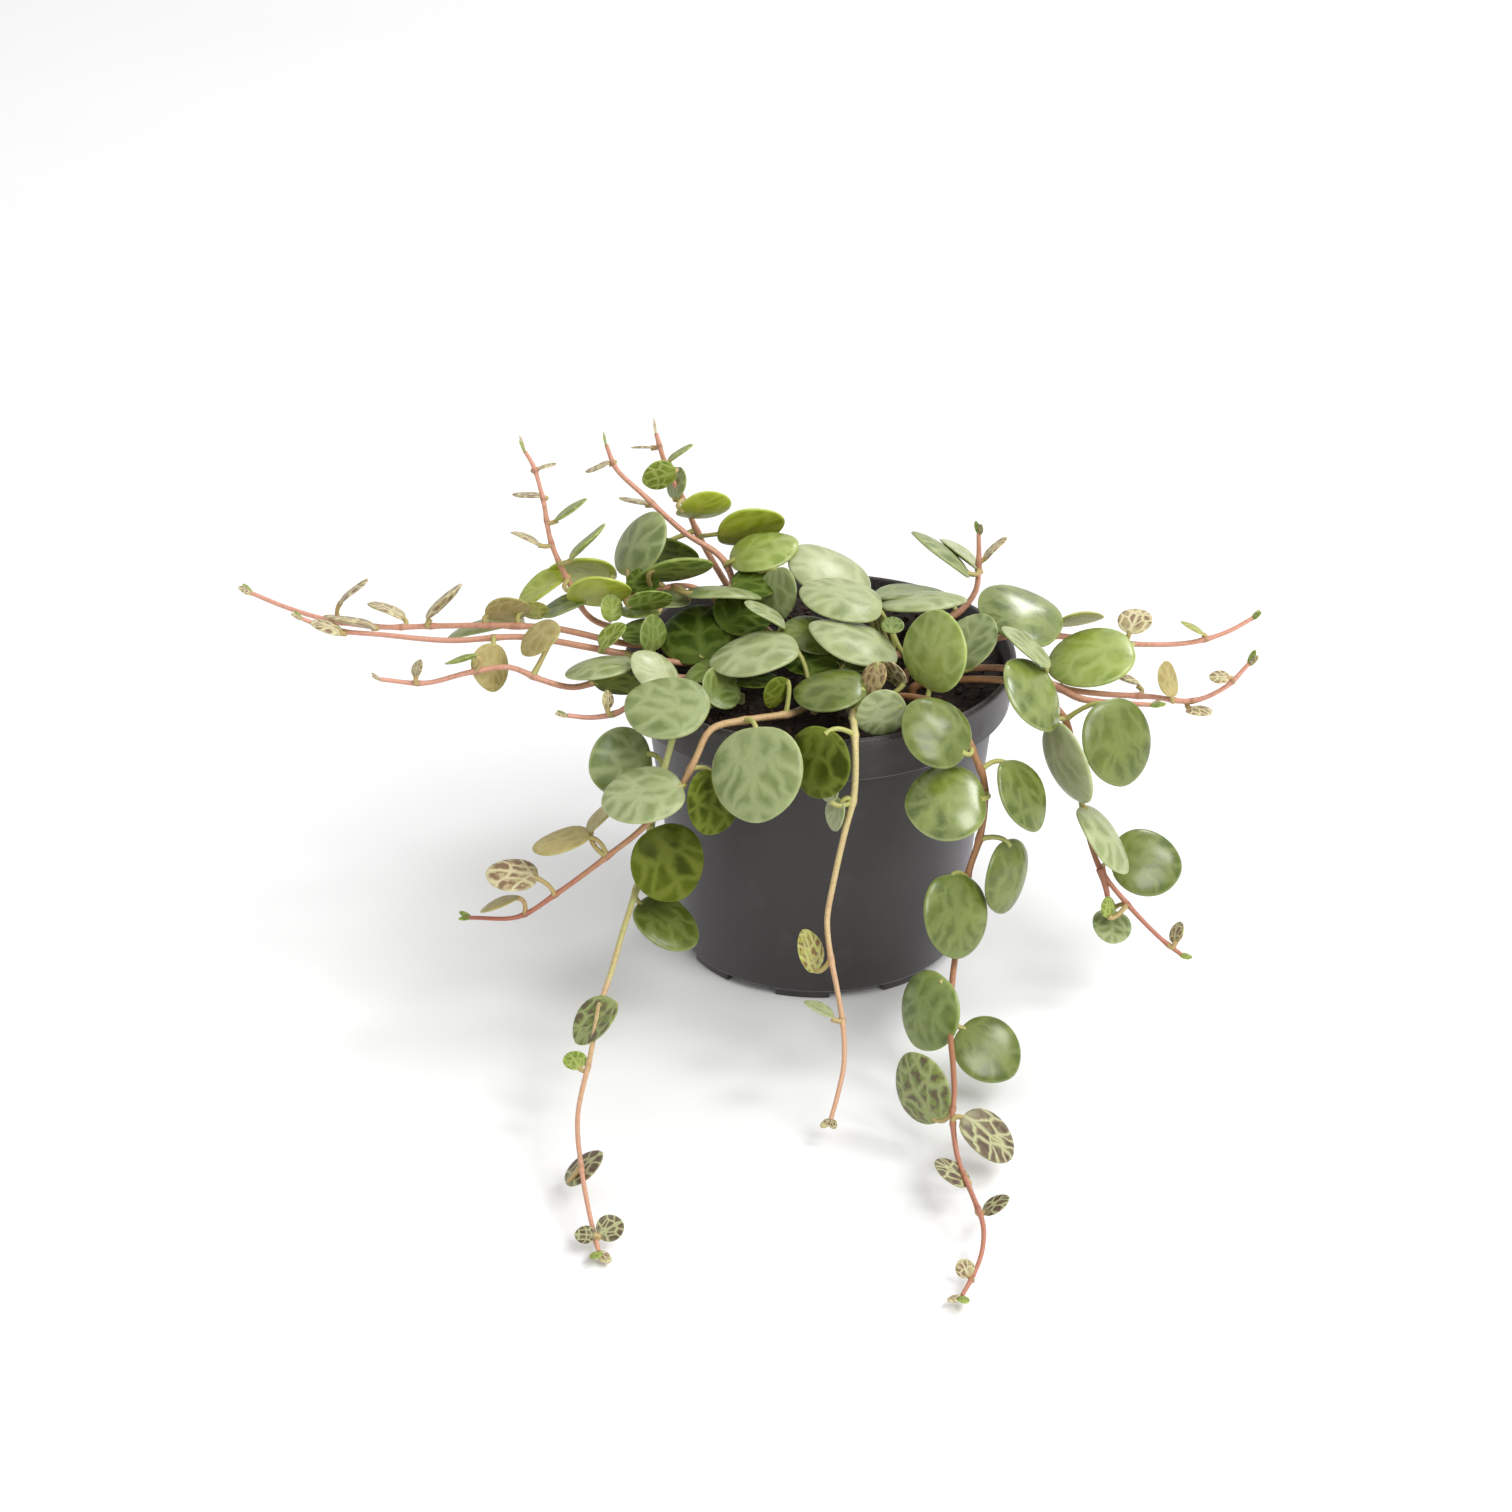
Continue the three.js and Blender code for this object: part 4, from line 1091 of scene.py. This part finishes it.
# %% Upright back
grow("upright_back", root=(-11, 16), route=[
    (-15, 18.5, 52), (-18.5, 20, 58), (-21, 19.5, 64.5), (-24, 19.5, 71.5), (-25.3, 19.5, 76.5),
], leaves=[
    (-11, 18.5, 61.2, 10.6, -165, 35, 175, "sunny"), (-24, 16.5, 57.5, 10, 170, 35, 170, "dark"),
], young=[
    (-18, 15.5, 65.6, 8.6, -165, 40, -165, "sunny"),
    (-24.8, 17, 70.6, 5.4, -165, 15, -15, "fresh"), (-27.6, 20.5, 73.8, 3.4, 180, 70, 0, "young"),
    (-21.7, 20.5, 72.8, 4.6, -105, 55, 120, "fresh"), (-22.4, 20, 68, 5, -60, 23, 108, "pale"),
])

# %% Upright right
grow("upright_right", root=(17, 11), route=[
    (22, 13, 49.6), (24.2, 14, 52.5), (24.6, 15, 57), (24.5, 15, 61.7),
], leaves=[
    (14, 13.5, 51.9, 12, 170, 75, 25, "pale"), (19.2, 15, 58.6, 11.2, 110, 50, 55, "pale"),
], young=[
    (27, 16, 58.8, 5, -100, 45, 115, "young"), (21.9, 17.5, 57, 7.8, 105, 51, 61, "light"),
])

# %% [markdown]
# ### The right-hand strings
# These lean out towards the window, so their leaves are the largest and the glossiest.

# %% Right high
grow("right_high", root=(9, 1), route=[
    (20, -1, 49.2), (30, 1, 51), (40, 1, 50.4), (48, 0, 49.9), (56.5, 0.5, 49.9), (62, 1, 51.4),
    (66, 2, 53.3),
], leaves=[
    (1.6, 9, 58.1, 13.4, 65, 65, 80, "light"), (3.4, -1.5, 58.4, 12.6, 70, 78, 105, "silver"),
    (30.5, -3, 56.7, 13.2, 50, 68, 105, "glossy"), (41, -6, 50.8, 13.2, -40, 72, -130, "bright"),
    (15.4, 2.9, 56, 13.2, -165, 75, 165, "silver"),
], young=[
    (39.4, 1.6, 53.5, 7.4, -165, 50, 170, "olive"), (48, 0.5, 53.6, 5.2, -15, 68, 80, "young"),
    (57, 1.5, 51.9, 4.2, 110, 60, 60, "olive"), (13.8, 7, 54.9, 11.5, 0, 104, 5, "pale"),
])

# %% Right low
grow("right_low", root=(13, -4), route=[
    (22, -7, 49.2), (30, -9, 49.8), (36.5, -9.5, 47.1), (42.5, -9.5, 46.1), (50, -10.5, 46.1),
    (56, -11.5, 45.9), (61, -11.5, 48.3), (64.3, -10.5, 51.6),
], forks=[[
    (36, -9.5, 47.2), (39, -12.5, 46.8), (43, -13.4, 46.6), (49.5, -14.2, 46.6),
]], young=[
    (52.2, -11, 49.2, 5.4, -120, -25, 110, "tan"), (60, -11, 49.6, 3, 0, 75, 180, "young"),
    (57, -12.5, 44.8, 4, 180, 85, 140, "young"), (46.2, -8, 47.6, 4.5, 125, 65, 50, "young"),
    (22.8, -10.5, 55.2, 9, -45, 45, 90, "pale"), (30.7, -13, 55.4, 9.2, 97, 52, 67, "silver"),
    (10.9, -6, 55.8, 3.4, 0, 70, 90, "mid"),
])

# %% Right down
grow("right_down", root=(14, -9), stem="rust", route=[
    (25, -12.5, 50), (32, -14, 49.4), (36, -14.5, 45.5), (37.3, -15.2, 43.2), (38.3, -16, 37.5),
    (39.4, -17, 31.8), (41, -19.3, 25.3), (42.6, -21, 21.8), (47.2, -23, 16.4), (51.8, -25, 12.2),
    (54.7, -26, 10.2),
], forks=[[
    (42.4, -20.8, 22.2), (43.2, -21.6, 19.5), (43.8, -22, 16.5),
]], leaves=[
    (31.8, -19, 51, 12, 65, 40, -115, "glossy"), (44.3, -20, 43.4, 12.9, 40, 25, -95, "deep"),
    (36.6, -20.5, 40, 12.8, -60, -10, -55, "light"), (43, -23, 29, 12, 85, 40, -110, "silver"),
    (49.6, -17.5, 21.6, 10.8, 15, 50, -15, "deep"),
], young=[
    (44.2, -22.5, 13, 6, 25, 60, -115, "pale"), (54, -24.5, 13.2, 3.4, -70, 30, 125, "young"),
    (43.7, -23.4, 16.9, 3.3, 49, 19, 70, "fresh"),
])

# %% [markdown]
# ### The front strings
# The oldest strings bend over the front of the rim, hang down the pot's wall and creep
# forward over the table. One is straw-coloured with age.

# %% Left down
grow("left_down", root=(-1, -15), stem="cream", route=[
    (-4.3, -22, 49), (-10, -25.5, 49.8), (-16, -28, 49.4), (-18.2, -30, 45.8), (-20.5, -31, 41.4),
    (-26.6, -33, 35.2), (-30.5, -33.5, 32), (-34.3, -34, 29), (-39.3, -34, 25), (-44.9, -33.5, 21),
    (-52.2, -32, 20),
], leaves=[
    (-9.8, -13, 54.9, 13.3, -85, 80, -90, "silver"),
    (-9.3, -35.5, 46.2, 13.9, -25, 35, -75, "pale"),
    (-25.8, -33.9, 41.8, 12, -20, 75, -145, "silver"),
], young=[
    (-16.2, -31.8, 39.4, 9.4, 45, 25, -125, "shade"),
    (-6.2, -22.5, 52.6, 5, -140, 5, -50, "shade"), (-38, -33, 33.4, 8.6, -105, 75, -65, "tan"),
    (-45.4, -34, 28.6, 7.6, 20, 80, 155, "young"), (-47.6, -33.5, 23.4, 6, -125, 65, -45, "tan"),
    (-32.1, -30.5, 36.3, 6.5, -92, 45, 111, "tan"),
])

# %% Front left
grow("front_left", root=(-12, -12), stem="blush", route=[
    (-16.5, -19, 48.8), (-20.5, -24.4, 49.2), (-22.6, -27, 44), (-24.5, -28, 36),
    (-26.9, -30, 25.8), (-29.3, -38, 20.5), (-30.7, -44, 17.5), (-32.2, -49, 14.6),
    (-33.2, -57, 11.3), (-34.5, -68, 8), (-33.5, -78, 5.8), (-32, -86, 3.4), (-30.5, -92, 1.3),
], leaves=[
    (-22.5, -25, 51.6, 12.3, -5, 70, 160, "pale"),
    (-29.2, -23.5, 41.6, 10.2, 30, 20, -175, "pale"),
    (-22.6, -31.4, 29, 11.4, 25, 20, -75, "shade"), (-23, -31, 18.6, 10.5, 60, 60, -85, "deep"),
], young=[
    (-32.4, -51, 13.2, 8.2, -65, 50, -90, "patched"), (-35.4, -58, 11, 3.4, 0, 70, 120, "fresh"),
    (-33.2, -76.5, 4.6, 6.6, -85, 55, 105, "brown"), (-29, -89, 3, 3.8, 0, 50, 30, "brown"),
    (-32.4, -90, 2.6, 2.8, 0, 65, 180, "brown"), (-9.6, -14, 50.5, 6.4, 0, 92, 0, "dark"),
])

# %% Front mid
grow("front_mid", root=(2, -10), stem="straw", route=[
    (4, -18, 48.6), (4.8, -26, 50.2), (5, -30.2, 49.6), (5.1, -32.4, 46.2), (4.9, -32.8, 41),
    (3.5, -34, 35.2), (1.8, -36, 27.5), (1, -38, 23.2), (1.4, -42, 19.9), (2.4, -46, 16.2),
    (3.3, -51, 12.6), (3.4, -56, 9.2), (2.6, -59, 6.4), (1.5, -62, 3.6),
], leaves=[
    (5.4, -10, 55.6, 14, 95, 70, 75, "silver"), (1.5, -21, 52.8, 10.8, -45, 80, -145, "deep"),
    (-0.4, -32.8, 46.4, 10.4, -35, 15, -95, "shade"),
], young=[
    (-1.2, -6.5, 54.6, 8.8, 40, 72, 125, "deep"), (9, -26.2, 51.2, 7.6, -170, 5, -20, "silver"),
    (-1.8, -41, 19.4, 6.4, 65, 25, 80, "speckled"), (-0.2, -50, 14.6, 5, 115, 60, 55, "light"),
    (10.8, -19.5, 54.4, 5, 140, 20, 35, "young"), (7.8, -21, 54.4, 5, -55, 33, -81, "dry"),
    (-1.3, -10, 52.5, 9, 5, 80, 160, "dark"), (6.2, -13, 52.8, 5.5, 0, 86, 0, "deep"),
    (1.4, -33, 41.8, 3.2, -40, 20, 110, "light"), (2.3, -33, 38, 5, -60, 15, -100, "light"),
])

# %% Front right
grow("front_right", root=(10, -13), stem="rust", route=[
    (16.5, -20, 49.9), (20.6, -25.6, 49), (22.6, -27.6, 45), (24, -28.5, 41.7), (24.2, -29.5, 37),
    (23.5, -30.5, 32.5), (22, -32, 28), (20.8, -34.5, 22), (20, -37.5, 16.8), (19.4, -41.5, 13.8),
    (19, -49, 10.6), (19.2, -56, 9), (19.2, -62, 8.3), (18.8, -68, 7.6), (19.4, -77, 6.2),
    (21.2, -84.5, 5.2), (22.4, -90, 4.2), (22, -95, 3), (20.5, -99.5, 2), (19.1, -102.5, 1.3),
], leaves=[
    (17, -17.5, 57, 12, -45, 15, 90, "bright"), (17.2, -30, 50.2, 11, 35, 45, 120, "deep"),
    (18.5, -33.5, 40.4, 11.7, 0, 50, -175, "glossy"),
    (29.6, -30.5, 40, 11.2, 65, 35, -110, "deep"), (28.2, -31.5, 26.7, 11.1, 55, 5, -100, "deep"),
    (19.9, -38.2, 24, 12.3, 45, 25, -105, "deep"), (15.4, -46, 12.2, 11.6, -50, 20, -100, "mid"),
    (24.5, -50.5, 8.4, 10.2, 25, 50, -60, "deep"), (14.2, -63, 9.2, 10.6, -45, 5, 130, "patched"),
], young=[
    (23.6, -70.5, 6.2, 9, 65, 55, -90, "brown"), (18.4, -80, 6.2, 5.6, 85, 60, 80, "brown"),
    (24.2, -86, 5, 4.2, -90, 60, 105, "brown"), (19.6, -98.5, 3, 2.6, 0, 45, 120, "young"),
])

# %% [markdown]
# ## Tidying up
# The two leaves that the others were copied from go.

# %% Tidy up
for pattern_leaf in (grown_pad, young_pad):
    bpy.data.objects.remove(pattern_leaf)
